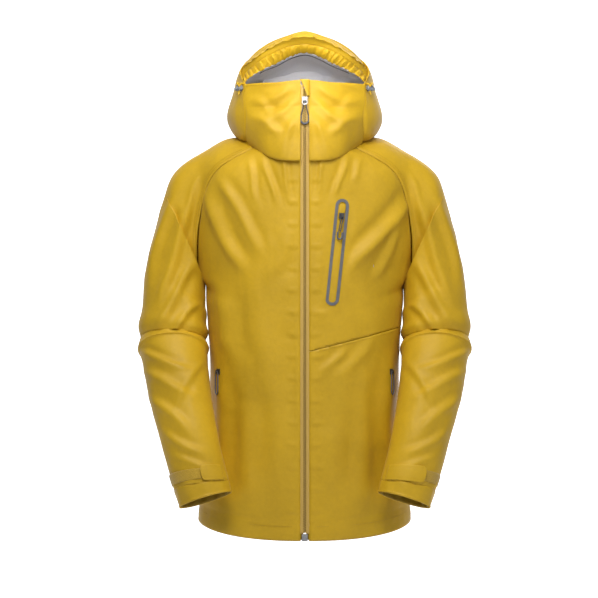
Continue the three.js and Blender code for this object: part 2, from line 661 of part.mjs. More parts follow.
function slider(prefix, point, normal, up, split) {
  const put = (s) => standOn(s, point, normal, up);
  piece(`${prefix}_slider`, put(sliderSolid()), DARK, 0.4, 0.6);
  if (split) {
    piece(`${prefix}_pull_cord`, put(cordSolid()), DARK);
    piece(`${prefix}_pull_grip`, put(gripSolid()), GREY);
  } else {
    const joined = tube([
      V(-GRIP_HALF, pivotY, -6), V(-GRIP_HALF, pivotY, -4), V(-GRIP_HALF + 0.8, pivotY, -1),
      V(-1.8, pivotY, 0), V(1.8, pivotY, 0), V(GRIP_HALF - 0.8, pivotY, -1),
      V(GRIP_HALF, pivotY, -4), V(GRIP_HALF, pivotY, -6),
    ], CORD_RADIUS, 6, 11);
    const legs = tube([
      V(-GRIP_HALF, pivotY, -5.5), V(-GRIP_HALF, pivotY, -PULL_LENGTH + 7),
      V(-3, pivotY, -PULL_LENGTH + 3), V(0, pivotY, -PULL_LENGTH + GRIP_RADIUS),
      V(3, pivotY, -PULL_LENGTH + 3), V(GRIP_HALF, pivotY, -PULL_LENGTH + 7),
      V(GRIP_HALF, pivotY, -5.5),
    ], GRIP_RADIUS * 0.75, 6, 12);
    piece(`${prefix}_pull`, put(joined.add(legs)), GREY);
  }
}

slider('front', V(0, chainY - 0.6, FRONT_SLIDER_Z), V(0, -1, 0), V(0, 0, 1), true);
piece('zip_garage', prismXZ([
  [-TAPE_HALF + GAP, COLLAR_Z - 5], [-CHAIN_HALF, COLLAR_Z - 20], [CHAIN_HALF, COLLAR_Z - 20],
  [TAPE_HALF - GAP, COLLAR_Z - 5], [TAPE_HALF - GAP, COLLAR_Z], [-TAPE_HALF + GAP, COLLAR_Z],
], -FRONT - 2.2, -FRONT - 0.2), MUSTARD);

// ---------------------------------------------------------------- chest pocket
const frameOuter = prismXZ(pocketOutline(FRAME_HALF, 0), -FRONT - 60, -FRONT / 2);
piece('chest_frame', trunkLayer(-GAP - 1.2, -GAP).intersect(frameOuter)
  .subtract(chestSlot(0)), GREY);
piece('chest_zip', trunkLayer(0.4, 0.4 + LAYER).intersect(chestSlot(-GAP + 0.3)), TAPE);
const tilt = rad(CHEST_POCKET.tilt);
const chestUp = V(Math.sin(tilt), 0, Math.cos(tilt));
const chestTop = CHEST_POCKET.length / 2 - FRAME_HALF - 14;
const garageCut = prismXZ([
  [0, CHEST_POCKET.z + chestTop + 12], [200, CHEST_POCKET.z + chestTop + 2],
  [200, 900], [0, 900],
], -300, 0);
piece('chest_garage', trunkLayer(-1.1, 0.1).intersect(chestSlot(-0.6)).intersect(garageCut), MUSTARD);
{
  const along = chestTop - 4;
  const x = CHEST_POCKET.x + along * chestUp.x;
  const z = CHEST_POCKET.z + along * chestUp.z;
  const lowX = CHEST_POCKET.x - 80 * chestUp.x;
  const lowZ = CHEST_POCKET.z - 80 * chestUp.z;
  const top = V(x, frontAt(x, z), z);
  const low = V(lowX, frontAt(lowX, lowZ), lowZ);
  const up = top.clone().sub(low).normalize();
  const n = normalAt(x, z);
  n.addScaledVector(up, -n.dot(up)).normalize();
  slider('chest', top.clone().addScaledVector(n, 0.5), n, up, true);
}

// ---------------------------------------------------------------- hand pockets
for (const [side, name] of [[1, 'left'], [-1, 'right']]) {
  const x = side * HAND_POCKET.x;
  piece(`hand_zip_${name}`, trunkLayer(0.4, 0.4 + LAYER)
    .intersect(handSlot(side, HAND_TAPE_HALF - GAP, -GAP)), TAPE);
  const z = HAND_POCKET.top - 12;
  const top = V(x, frontAt(x, z), z);
  const low = V(x, frontAt(x, HAND_POCKET.bottom), HAND_POCKET.bottom);
  const up = top.clone().sub(low).normalize();
  const n = normalAt(x, z);
  n.addScaledVector(up, -n.dot(up)).normalize();
  slider(`hand_${name}`, top.clone().addScaledVector(n, 0.5), n, up, false);
}

// ---------------------------------------------------------------- cord locks
for (const [side, name] of [[1, 'left'], [-1, 'right']]) {
  const at = V(side * (OPENING_HALF + 1), PEAK_SEAM_Y - 19, COLLAR_Z - 8);
  const out = V(side * 0.86, 0.48, -0.15).normalize();
  const floor = LOCK_LENGTH - BUTTON_TRAVEL - 3;
  const wall = BUTTON_RADIUS + GAP;
  const turned = (outline) => solid(new THREE.LatheGeometry(
    outline.map(([r, h]) => new THREE.Vector2(r, h - LOCK_LENGTH / 2)), 14,
  ).applyQuaternion(new THREE.Quaternion().setFromUnitVectors(V(0, 1, 0), out))
    .translate(at.x, at.y, at.z));
  piece(`cord_lock_${name}`, turned([
    [0, 0], [LOCK_RADIUS - 1, 0], [LOCK_RADIUS, 1.5], [LOCK_RADIUS, LOCK_LENGTH - 1],
    [LOCK_RADIUS - 0.6, LOCK_LENGTH], [wall, LOCK_LENGTH], [wall, floor], [0, floor],
  ]), GREY, 0.5);
  piece(`lock_button_${name}`, turned([
    [0, floor + BUTTON_TRAVEL + GAP], [BUTTON_RADIUS, floor + BUTTON_TRAVEL + GAP],
    [BUTTON_RADIUS, LOCK_LENGTH + 3], [BUTTON_RADIUS - 0.7, LOCK_LENGTH + 3.6],
    [0, LOCK_LENGTH + 3.6],
  ]), GREY, 0.5);
  const top = at.clone().add(V(-side * 1.5, 0, LOCK_RADIUS + GAP + 0.4));
  piece(`lock_cord_${name}`, tube([
    top, top.clone().add(V(0, 0, 3)), top.clone().add(V(-side * 2.5, -1, 6)),
    top.clone().add(V(-side * 6, -2, 5)), top.clone().add(V(-side * 8.5, -1, 1.5)),
  ], CORD_RADIUS, 6, 10), MUSTARD);
}

// ---------------------------------------------------------------- hanger loop
{
  const wall = NECK_BACK - FABRIC - GAP - LOOP_THICKNESS;
  const half = LOOP_THICKNESS / 2;
  const strap = new THREE.Shape([
    [-LOOP_WIDTH / 2, -half], [LOOP_WIDTH / 2, -half], [LOOP_WIDTH / 2, half], [-LOOP_WIDTH / 2, half],
  ].map(([w, u]) => new THREE.Vector2(w, u)));
  const path = new THREE.CatmullRomCurve3([
    V(-LOOP_HALF, wall - 3.5, LOOP_Z), V(-LOOP_HALF * 0.7, wall - 4.5, LOOP_Z),
    V(-LOOP_HALF * 0.4, wall - LOOP_SLACK * 0.85, LOOP_Z), V(0, wall - LOOP_SLACK, LOOP_Z),
    V(LOOP_HALF * 0.4, wall - LOOP_SLACK * 0.85, LOOP_Z),
    V(LOOP_HALF * 0.7, wall - 4.5, LOOP_Z), V(LOOP_HALF, wall - 3.5, LOOP_Z),
  ], false, 'centripetal');
  piece('hanger_loop', solid(new THREE.ExtrudeGeometry(strap, {
    steps: 14, bevelEnabled: false, extrudePath: path,
  })), MUSTARD);
}

// The origin is the middle of the hanger loop's inner face, where a hook bears.
const hook = V(0, NECK_BACK - FABRIC - GAP - LOOP_THICKNESS / 2 - LOOP_SLACK, LOOP_Z);
jacket.position.copy(hook).negate();

export default jacket;
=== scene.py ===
import math

import bmesh
import bpy
import numpy as np
from mathutils import Matrix, Vector


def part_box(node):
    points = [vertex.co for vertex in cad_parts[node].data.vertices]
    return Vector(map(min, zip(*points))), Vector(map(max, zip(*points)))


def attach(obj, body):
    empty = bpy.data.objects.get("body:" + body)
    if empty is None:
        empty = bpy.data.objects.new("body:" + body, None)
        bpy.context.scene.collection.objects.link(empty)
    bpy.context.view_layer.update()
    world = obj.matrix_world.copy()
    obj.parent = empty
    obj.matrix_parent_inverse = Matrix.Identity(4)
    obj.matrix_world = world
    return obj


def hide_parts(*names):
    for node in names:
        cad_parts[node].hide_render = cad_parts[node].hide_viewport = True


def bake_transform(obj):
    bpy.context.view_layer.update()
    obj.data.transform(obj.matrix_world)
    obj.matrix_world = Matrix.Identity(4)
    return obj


bl_info = {
    "name": "Hooded Shell Jacket",
    "version": (1, 0, 0),
    "blender": (4, 5, 0),
    "location": "View3D > Sidebar > Jacket",
    "description": "Cloth, zips and cord locks of a hooded shell jacket on its frame",
    "category": "Add Mesh",
}

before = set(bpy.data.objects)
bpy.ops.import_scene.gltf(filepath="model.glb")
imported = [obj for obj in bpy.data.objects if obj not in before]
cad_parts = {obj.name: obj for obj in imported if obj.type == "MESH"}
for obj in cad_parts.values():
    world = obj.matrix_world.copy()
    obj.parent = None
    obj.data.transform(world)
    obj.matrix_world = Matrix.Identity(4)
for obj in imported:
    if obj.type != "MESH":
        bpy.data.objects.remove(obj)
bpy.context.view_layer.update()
SIDES = (("left", 1), ("right", -1))
OFFSET = np.array([0.0, 60.7, 724.0])  # from the hem drawing to the loop, in mm
ROUND = 2.3


# ------------------------------------------------------------------ numbers
def at(p):
    """Drawing millimetres, measured from the hem, to metres in the frame."""
    return (np.asarray(p, float) - OFFSET) / 1000


def ease(t):
    t = np.clip(t, 0, 1)
    return t * t * (3 - 2 * t)


def mix(a, b, t):
    return a + (b - a) * t


def through(keys, values, x):
    """A smooth curve through the values given at rising keys."""
    k = np.asarray(keys, float)
    v = np.asarray(values, float)
    flat = v.ndim == 1
    if flat:
        v = v[:, None]
    d = np.diff(v, axis=0) / np.diff(k)[:, None]
    m = np.vstack([d[:1], (d[:-1] + d[1:]) / 2, d[-1:]])
    x = np.asarray(x, float)
    i = np.clip(np.searchsorted(k, x, side="right") - 1, 0, len(k) - 2)
    h = (k[i + 1] - k[i])[..., None]
    t = np.clip((x - k[i])[..., None] / h, -1.0, 2.0)
    inside = np.clip(t, 0, 1)
    y = ((2 * inside**3 - 3 * inside**2 + 1) * v[i]
         + (inside**3 - 2 * inside**2 + inside) * h * m[i]
         + (-2 * inside**3 + 3 * inside**2) * v[i + 1]
         + (inside**3 - inside**2) * h * m[i + 1])
    y = y + np.where(t < 0, t * h * m[i], 0) + np.where(t > 1, (t - 1) * h * m[i + 1], 0)
    return y[..., 0] if flat else y


def lattice(seed):
    return np.random.RandomState(seed).rand(24, 24, 24)


LATTICE = [lattice(k) for k in range(4)]


def mottle(p, size, seed=0):
    """Soft noise from -1 to 1 at points p in mm, with lumps of the given size."""
    q = np.asarray(p, float) / size + 500.37 + 13.7 * seed
    low = np.floor(q).astype(int)
    f = q - low
    f = f * f * (3 - 2 * f)
    table = LATTICE[seed % 4]
    total = np.zeros(q.shape[:-1])
    for cx in (0, 1):
        for cy in (0, 1):
            for cz in (0, 1):
                w = ((f[..., 0] if cx else 1 - f[..., 0])
                     * (f[..., 1] if cy else 1 - f[..., 1])
                     * (f[..., 2] if cz else 1 - f[..., 2]))
                total += w * table[(low[..., 0] + cx) % 24, (low[..., 1] + cy) % 24,
                                   (low[..., 2] + cz) % 24]
    return total * 2 - 1


FOLD_WIDTH = 0.78  # how much sharper the folds are than they are listed
FOLD_HEIGHT = 1.35


def creases(x, z, lines):
    """Height of listed folds: x0, z0, x1, z1, width, height; a dip follows each crest."""
    total = np.zeros(np.shape(x))
    for x0, z0, x1, z1, spread, height in lines:
        width = FOLD_WIDTH * spread
        dx, dz = x1 - x0, z1 - z0
        run = math.hypot(dx, dz)
        t = ((x - x0) * dx + (z - z0) * dz) / run**2
        d = ((x - x0) * dz - (z - z0) * dx) / run
        wander = 0.35 * width * np.sin(5.1 * t + x0 * 0.1)
        d = d + wander
        fade = ease((t + 0.12) / 0.4) * ease((1.12 - t) / 0.4)
        total += height * fade * (np.exp(-((d / width) ** 2))
                                  - 0.6 * np.exp(-(((d - 1.7 * width) / (1.1 * width)) ** 2)))
    return FOLD_HEIGHT * total


def away(p, heart, level=False):
    """Unit directions from the heart out to points; level ones have no height."""
    out = p - np.array(heart)
    if level:
        out[:, 2] = 0
    return out / np.linalg.norm(out, axis=1, keepdims=True)


# --------------------------------------------------------------------- forms
TRUNK = [(21, 191, 125), (110, 182.2, 126), (160, 171.5, 125), (330, 170, 125), (400, 174, 125),
         (463, 178, 125), (540, 186, 121), (600, 178, 115), (650, 149.9, 100.5), (690, 118, 85),
         (715, 104, 76), (760, 94, 70)]
FRONT = 140.0


def trunk(a, z):
    """The body form: angle (front -90 degrees, wearer's left 0) and height."""
    rows = through([r[0] for r in TRUNK], [r[1:] for r in TRUNK], z)
    c, s = np.cos(a), np.sin(a)
    x = rows[..., 0] * np.sign(c) * np.abs(c) ** (2 / ROUND)
    y = np.where(s < 0, FRONT, rows[..., 1]) * np.sign(s) * np.abs(s) ** (2 / ROUND)
    hem = 45 + (np.where(s < 0, 21.0, 0.0) - 45) * np.abs(s) ** 1.2
    return np.stack([x, y, z + (hem - 21) * np.clip(1 - (z - 21) / 140, 0, 1)], -1)


def neck(a):
    """The seam between hood and body, by angle."""
    c, s = np.cos(a), np.sin(a)
    y = np.where(s < 0, 140.0, 74.0) * np.sign(s) * np.abs(s) ** (2 / ROUND)
    x = 100 * np.sign(c) * np.abs(c) ** (2 / ROUND)
    return np.stack([x, y, 695 + 43 * (y + 140) / 214], -1)


# Seam from the underarm to the neck: front and back, wearer's left.
RAGLAN_FRONT = [(178, -2, 466), (189, -20, 480), (190, -38, 510), (189, -50, 551),
                (185, -58, 581), (177, -67, 619), (169, -74, 643), (153, -82, 665),
                (125, -88, 684), (82, -90.6, 705)]
RAGLAN_BACK = [(178, 2, 466), (188, 20, 480), (189, 38, 510), (188, 50, 551), (183, 58, 585),
               (173, 65, 625), (163, 67, 660), (145, 64, 690), (118, 57, 714), (82, 48, 733)]


def along(points, t):
    """The point at part t of the length of a smooth line."""
    p = np.asarray(points, float)
    reach = np.concatenate([[0], np.cumsum(np.linalg.norm(np.diff(p, axis=0), axis=1))])
    return through(reach / reach[-1], p, t)


def body_edge(front, v):
    """Outer edge of a body panel: side seam to the underarm, then the raglan seam."""
    side = trunk(np.zeros(np.shape(v)), mix(21, 466, np.clip(v / 0.6, 0, 1)))
    side[..., 1] = 0
    seam = along(RAGLAN_FRONT if front else RAGLAN_BACK, np.clip((v - 0.6) / 0.4, 0, 1))
    return np.where((v < 0.6)[..., None], side, seam)


def body_panel(front, u, v):
    """u runs from the middle of the body to its side, v from the hem to the neck."""
    edge = body_edge(front, v)
    sign = -1.0 if front else 1.0
    neck_to = math.radians(37.3) * sign
    start = math.radians(90) * sign
    half = through([r[0] for r in TRUNK], [r[1] for r in TRUNK], mix(21, 695, v))
    if front:
        start = start + np.arcsin(np.clip(7.0 / half, 0, 1) ** 1.15)
    middle = mix(21, 695 if front else 738, v)
    height = mix(middle, np.where(v < 0.6, mix(21, 466, np.clip(v / 0.6, 0, 1)), edge[..., 2]),
                 u**1.6)
    stop = sign * math.radians(25) * ease((v - 0.56) / 0.12)
    flat = trunk(mix(start, stop, u), height)
    rim = trunk(stop + 0 * u, np.where(v < 0.6, height * 0 + mix(21, 466, np.clip(v / 0.6, 0, 1)),
                                       edge[..., 2]))
    p = flat + (ease((u - 0.35) / 0.65))[..., None] * (edge - rim)
    top = neck(mix(start, neck_to, u))
    one = np.ones_like(v)
    flat_top = trunk(mix(start, stop * 0 + sign * math.radians(25), u),
                     mix(one * (695 if front else 738), one * edge_top(front), u**1.6))
    last = flat_top + ease((u - 0.35) / 0.65)[..., None] * (
        along(RAGLAN_FRONT if front else RAGLAN_BACK, one)
        - trunk(one * sign * math.radians(25), one * edge_top(front)))
    return p + (ease((v - 0.84) / 0.16))[..., None] * (top - last)


def edge_top(front):
    return 705.0 if front else 733.0


# Sleeve stations: outer edge, inner edge (front view), centre y, front and back half depth.
SLEEVE = [((60, 731), (44, 650), 5, 112, 86), ((100, 729), (78, 610), 4, 104, 84),
          ((140, 725), (112, 570), 3, 96, 82), ((180, 703), (142, 530), 2, 86, 78),
          ((214, 682), (162, 500), 0, 77, 73), ((238, 658), (172, 478), -1, 70, 69),
          ((251, 625), (177, 464), -2, 66, 66), ((264, 580), (178, 454), -4, 63, 63),
          ((278, 517), (178, 436), -8, 61, 61), ((287, 454), (177, 408), -15, 60, 60),
          ((295, 360), (173, 360), -34, 57, 57), ((287, 325), (170, 322), -58.2, 55, 55),
          ((271, 262), (161, 258), -95.7, 53, 53), ((250, 193), (147, 190), -124.75, 50, 50),
          ((230, 128), (133, 138), -145.3, 46, 46), ((213, 80), (126, 107), -155, 43, 43)]
ARMPIT = 6.0
ELBOW = 9.9
CUFF_SEAM = 14.37


def sleeve_frame(s):
    rows = np.array([[o[0], o[1], i[0], i[1], y, f, b] for o, i, y, f, b in SLEEVE], float)
    keys = np.arange(len(rows))
    r = through(keys, rows, s)
    near = through(keys, rows, np.clip(s + 0.25, 0, 15))
    back = through(keys, rows, np.clip(s - 0.25, 0, 15))

    def middle(q):
        return np.stack([(q[..., 0] + q[..., 2]) / 2, q[..., 4], (q[..., 1] + q[..., 3]) / 2], -1)

    centre = middle(r)
    across = np.stack([r[..., 0] - r[..., 2], 0 * s, r[..., 1] - r[..., 3]], -1)
    width = np.linalg.norm(across, axis=-1, keepdims=True)
    across = across / width
    run = middle(near) - middle(back)
    run = run / np.linalg.norm(run, axis=-1, keepdims=True)
    front = np.cross(run, across)
    front = front / np.linalg.norm(front, axis=-1, keepdims=True)
    front = np.where(front[..., 1:2] > 0, -front, front)
    return centre, across, front, run, width[..., 0] / 2, r[..., 5], r[..., 6]


def sleeve(s, b, inset=0.0):
    """A point of the left sleeve: station and angle (outer edge 0, front -180..0)."""
    centre, across, front, _, width, fore, aft = sleeve_frame(s)
    depth = np.where(np.sin(b) < 0, fore, aft)
    return (centre + across * ((width - inset) * np.cos(b))[..., None]
            - front * ((depth - inset) * np.sin(b))[..., None])


def seam_station(v):
    """Station and ring angle where the front raglan seam meets the sleeve, v from neck to underarm."""
    p = along(RAGLAN_FRONT, 1 - v)
    s = np.linspace(0, ARMPIT, 400)
    centre, across, _, _, width, _, _ = sleeve_frame(s)
    spot = p[:, None, :] - centre[None]
    off = np.abs(spot[..., 0] * across[None, :, 2] - spot[..., 2] * across[None, :, 0])
    k = np.argmin(off + 1e-3 * np.abs(s[None] - ARMPIT * v[:, None]), axis=1)
    c = (spot[np.arange(len(v)), k] * across[k]).sum(-1) / width[k]
    return s[k], np.arccos(np.clip(c, -1, 1)), p


def sleeve_cap(u, v):
    """Sleeve above the underarm: u from the front seam over the shoulder to the back seam."""
    steps = np.linspace(0, 1, 60)
    s, b, _ = seam_station(steps)
    s = np.maximum.accumulate(s)
    kernel = np.ones(5) / 5
    s = np.convolve(np.pad(s, 2, mode="edge"), kernel, "valid")
    s[-1] = ARMPIT
    b = np.convolve(np.pad(b, 2, mode="edge"), kernel, "valid")
    b[-1] = math.pi
    station = np.interp(v, steps, s)
    angle = np.interp(v, steps, b)
    p = sleeve(station, mix(-angle, angle, u))
    seam_f = along(RAGLAN_FRONT, 1 - v) - sleeve(station, -angle)
    seam_b = along(RAGLAN_BACK, 1 - v) - sleeve(station, angle)
    return p + ease(1 - u / 0.42)[..., None] * seam_f + ease((u - 0.58) / 0.42)[..., None] * seam_b


HOOD = [(660, 92, 140, 66, 43), (695, 100, 140, 74, 43), (708, 118, 140, 88, 34),
        (725, 131, 140, 101, 24), (757, 142, 140, 113, 10), (814, 128, 140, 118, 0),
        (841, 117, 141, 110, 0), (864, 98, 140, 94, 0), (885, 68, 133, 72, 0),
        (899, 38, 118, 46, 0), (905, 14, 95, 18, 0), (907, 5, 75, 6, 0)]
CROWN = 907
HEART = (0, -12, 790)  # middle of the hood
CHIN_ANGLE = math.radians(-23)
STRIP_ANGLE = math.radians(63.2)


def outside_hood(p):
    x, y, z = p[..., 0], p[..., 1], p[..., 2]
    keys = [r[0] for r in HOOD]
    low = z
    for _ in range(3):
        rows = through(keys, [r[1:] for r in HOOD], np.clip(low, 660, CROWN))
        low = z - rows[..., 3] * np.clip((y + rows[..., 1]) / (rows[..., 1] + rows[..., 2]), 0, 1)
    over = np.exp(-np.clip(low - CROWN, 0, 60))
    half = rows[..., 0] * over
    depth = np.where(y < 0, rows[..., 1], rows[..., 2]) * over
    return np.abs(x / half) ** ROUND + np.abs(y / depth) ** ROUND - 1


def cast(p):
    """Moves points straight out from the middle of the hood onto its surface."""
    heart = np.array(HEART, float)
    ray = p - heart
    ray = ray / np.linalg.norm(ray, axis=-1, keepdims=True)
    low = np.full(p.shape[:-1], 20.0)
    high = np.full(p.shape[:-1], 230.0)
    for _ in range(24):
        mid = (low + high) / 2
        inside = outside_hood(heart + ray * mid[..., None]) < 0
        low = np.where(inside, mid, low)
        high = np.where(inside, high, mid)
    return heart + ray * low[..., None]


def front_of_hood(x, z):
    low = np.full(np.shape(x), -165.0)
    high = np.full(np.shape(x), -20.0)
    for _ in range(24):
        mid = (low + high) / 2
        out = outside_hood(np.stack([x, mid, z], -1)) > 0
        low = np.where(out, mid, low)
        high = np.where(out, high, mid)
    return np.stack([x, low, z], -1)


def patch(u, v, bottom, top, first, last):
    """A surface between four lines that meet at their ends."""
    a, b, c, d = bottom(u), top(u), first(v), last(v)
    u_, v_ = u[..., None], v[..., None]
    zero, one = np.zeros_like(u), np.ones_like(u)
    corners = ((1 - u_) * (1 - v_) * bottom(zero) + u_ * (1 - v_) * bottom(one)
               + (1 - u_) * v_ * top(zero) + u_ * v_ * top(one))
    return (1 - v_) * a + v_ * b + (1 - u_) * c + u_ * d - corners


# -------------------------------------------------------------------- making
def finish_mesh(bm, name, finish, smooth=True, body="shell", replaces=()):
    mesh = bpy.data.meshes.new(name)
    bm.to_mesh(mesh)
    bm.free()
    piece = bpy.data.objects.new(name, mesh)
    bpy.context.scene.collection.objects.link(piece)
    mesh.materials.append(FINISHES[finish]())
    if smooth:
        mesh.polygons.foreach_set("use_smooth", [True] * len(mesh.polygons))
    if body:
        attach(piece, body)
    if replaces:
        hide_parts(*replaces)
    return piece


def cloth(name, nu, nv, place, finish, middle, side=1, gauge=0.9, body="shell", replaces=(),
          crumple=0.0, seed=0, cut=None, calm=None):
    """A cloth panel: a grid laid over a form, in mm, with its cut size laid out in a UV map in metres.
    """
    bm = bmesh.new()
    bmesh.ops.create_grid(bm, x_segments=nu, y_segments=nv, size=1.0)
    flat = np.array([v.co[:2] for v in bm.verts])
    flat = (flat - flat.min(0)) / (flat.max(0) - flat.min(0))
    u, v = flat[:, 0], flat[:, 1]
    p = place(u, v)
    if crumple:
        out = p - np.asarray(middle, float)
        out[:, 2] *= 0.2
        out /= np.linalg.norm(out, axis=1, keepdims=True)
        hem = ease(np.minimum(np.minimum(u, 1 - u) * nu / 4, np.minimum(v, 1 - v) * nv / 4))
        lump = (mottle(p, 70, seed) + 0.5 * mottle(p, 31, seed + 1)
                + 0.22 * (1 - 2 * np.abs(mottle(p * [1, 1, 0.6], 17, seed + 2))))
        if calm:
            hem = hem * (1 - calm(p[:, 0], p[:, 2]))
        p = p + out * (crumple * lump * hem)[:, None]
    p = p * np.array([side, 1, 1])
    spots = at(p)
    for vert, co in zip(bm.verts, spots):
        vert.co = co
    heart = Vector(at(np.asarray(middle, float) * [side, 1, 1]))
    lean = sum(f.normal.dot(f.calc_center_median() - heart) * f.calc_area()
               for f in (bm.normal_update(), bm.faces)[1])
    if lean < 0:
        bmesh.ops.reverse_faces(bm, faces=bm.faces[:])
    area = sum(f.calc_area() for f in bm.faces)
    grid = spots[np.lexsort((np.round(u * nu), np.round(v * nv)))].reshape(nv + 1, nu + 1, 3)
    wide = np.linalg.norm(np.diff(grid, axis=1), axis=2).sum(1).mean()
    long = np.linalg.norm(np.diff(grid, axis=0), axis=2).sum(0).mean()
    layer = bm.loops.layers.uv.new("cut")
    place_of = {vert: (a * wide, b * long) for vert, a, b in zip(bm.verts, u, v)}
    for face in bm.faces:
        for loop in face.loops:
            loop[layer].uv = place_of[loop.vert]
    if cut:
        point, normal = cut
        bmesh.ops.bisect_plane(bm, geom=bm.verts[:] + bm.edges[:] + bm.faces[:], dist=1e-6,
                               plane_co=at(point), plane_no=normal, clear_outer=True)
        area = sum(f.calc_area() for f in bm.faces)
    piece = finish_mesh(bm, name, finish, body=body, replaces=replaces)
    skin = piece.modifiers.new("cloth", "SOLIDIFY")
    skin.thickness = gauge / 1000
    skin.offset = -1
    return piece


def skinned(bm, loops):
    """Bridges a run of closed loops of edges into one solid."""
    for one, two in zip(loops, loops[1:]):
        bmesh.ops.bridge_loops(bm, edges=one + two)
    for end in (loops[0], loops[-1]):
        bmesh.ops.contextual_create(bm, geom=end)
    bmesh.ops.recalc_face_normals(bm, faces=bm.faces[:])


def directions(line):
    run = np.gradient(line, axis=0)
    return run / np.linalg.norm(run, axis=1, keepdims=True)


def band(bm, line, width, thick):
    """A flat strip along a line of mm points, facing forward."""
    line = np.asarray(line, float)
    run = directions(line)
    across = np.cross(run, [0.0, -1.0, 0.0])
    across /= np.linalg.norm(across, axis=1, keepdims=True)
    loops = []
    for p, a, f in zip(line, across, np.cross(across, run)):
        ring = [p - a * width / 2 - f * thick / 2, p + a * width / 2 - f * thick / 2,
                p + a * (width / 2 - 0.1) + f * thick / 2, p - a * (width / 2 - 0.1) + f * thick / 2]
        verts = [bm.verts.new(at(q)) for q in ring]
        loops.append([bm.edges.new(pair) for pair in zip(verts, verts[1:] + verts[:1])])
    skinned(bm, loops)


def rod(bm, line, radius, sides=8):
    """A round cord along mm points."""
    line = np.asarray(line, float)
    run = directions(line)
    loops = []
    side = np.cross(run[0], [0.31, 0.77, 0.55])
    for p, t in zip(line, run):
        side = side - t * side.dot(t)
        side /= np.linalg.norm(side)
        turn = Matrix(np.array([-np.cross(t, side), side, t]).T.tolist()).to_4x4()
        place = Matrix.Translation(Vector(at(p))) @ turn
        ring = bmesh.ops.create_circle(bm, segments=sides, radius=radius / 1000, matrix=place)
        loops.append(list(dict.fromkeys(e for vert in ring["verts"] for e in vert.link_edges)))
    skinned(bm, loops)


def turned(bm, profile, centre, axis, steps=24):
    """A turned form: profile of (along, radius) in mm about an axis."""
    axis = Vector(axis).normalized()
    side = axis.orthogonal().normalized()
    verts = [bm.verts.new(Vector(at(centre)) + (axis * a + side * r) * 0.001) for a, r in profile]
    edges = [bm.edges.new(pair) for pair in zip(verts, verts[1:])]
    bmesh.ops.spin(bm, geom=verts + edges, cent=Vector(at(centre)), axis=axis,
                   angle=2 * math.pi, steps=steps, use_merge=True)
    bmesh.ops.remove_doubles(bm, verts=bm.verts[:], dist=2e-6)
    bmesh.ops.recalc_face_normals(bm, faces=bm.faces[:])


def drawn_box(node):
    """Lowest and highest corner of a node of the frame, in drawing mm."""
    return [np.array(corner) * 1000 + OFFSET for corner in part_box(node)]


def box_at(bm, centre, size, basis=None):
    """A small block in mm."""
    m = Matrix.Translation(Vector(at(centre)))
    if basis is not None:
        m = m @ Matrix(np.array(basis).T.tolist()).to_4x4()
    m = m @ Matrix.Diagonal((size[0] / 1000, size[1] / 1000, size[2] / 1000, 1))
    return bmesh.ops.create_cube(bm, size=1.0, matrix=m)["verts"]


def stitches(bm, line, out, pitch=3.6, length=2.6, height=0.45):
    """A row of thread stitches along a line of mm points, just proud of the cloth."""
    line = np.asarray(line, float)
    step = np.linalg.norm(np.diff(line, axis=0), axis=1)
    reach = np.concatenate([[0], np.cumsum(step)])
    out = np.broadcast_to(np.asarray(out, float), line.shape)
    for d in np.arange(pitch, reach[-1] - pitch / 2, pitch):
        a = np.array([np.interp(d - length / 2, reach, line[:, k]) for k in range(3)])
        b = np.array([np.interp(d + length / 2, reach, line[:, k]) for k in range(3)])
        o = np.array([np.interp(d, reach, out[:, k]) for k in range(3)])
        run = (b - a) / max(np.linalg.norm(b - a), 1e-6)
        o = o - run * o.dot(run)
        o /= np.linalg.norm(o)
        box_at(bm, (a + b) / 2 + o * 0.25, (np.linalg.norm(b - a), 0.55, height),
               [run, np.cross(o, run), o])


# ------------------------------------------------------------------ finishes
def settings():
    return bpy.context.scene.jacket


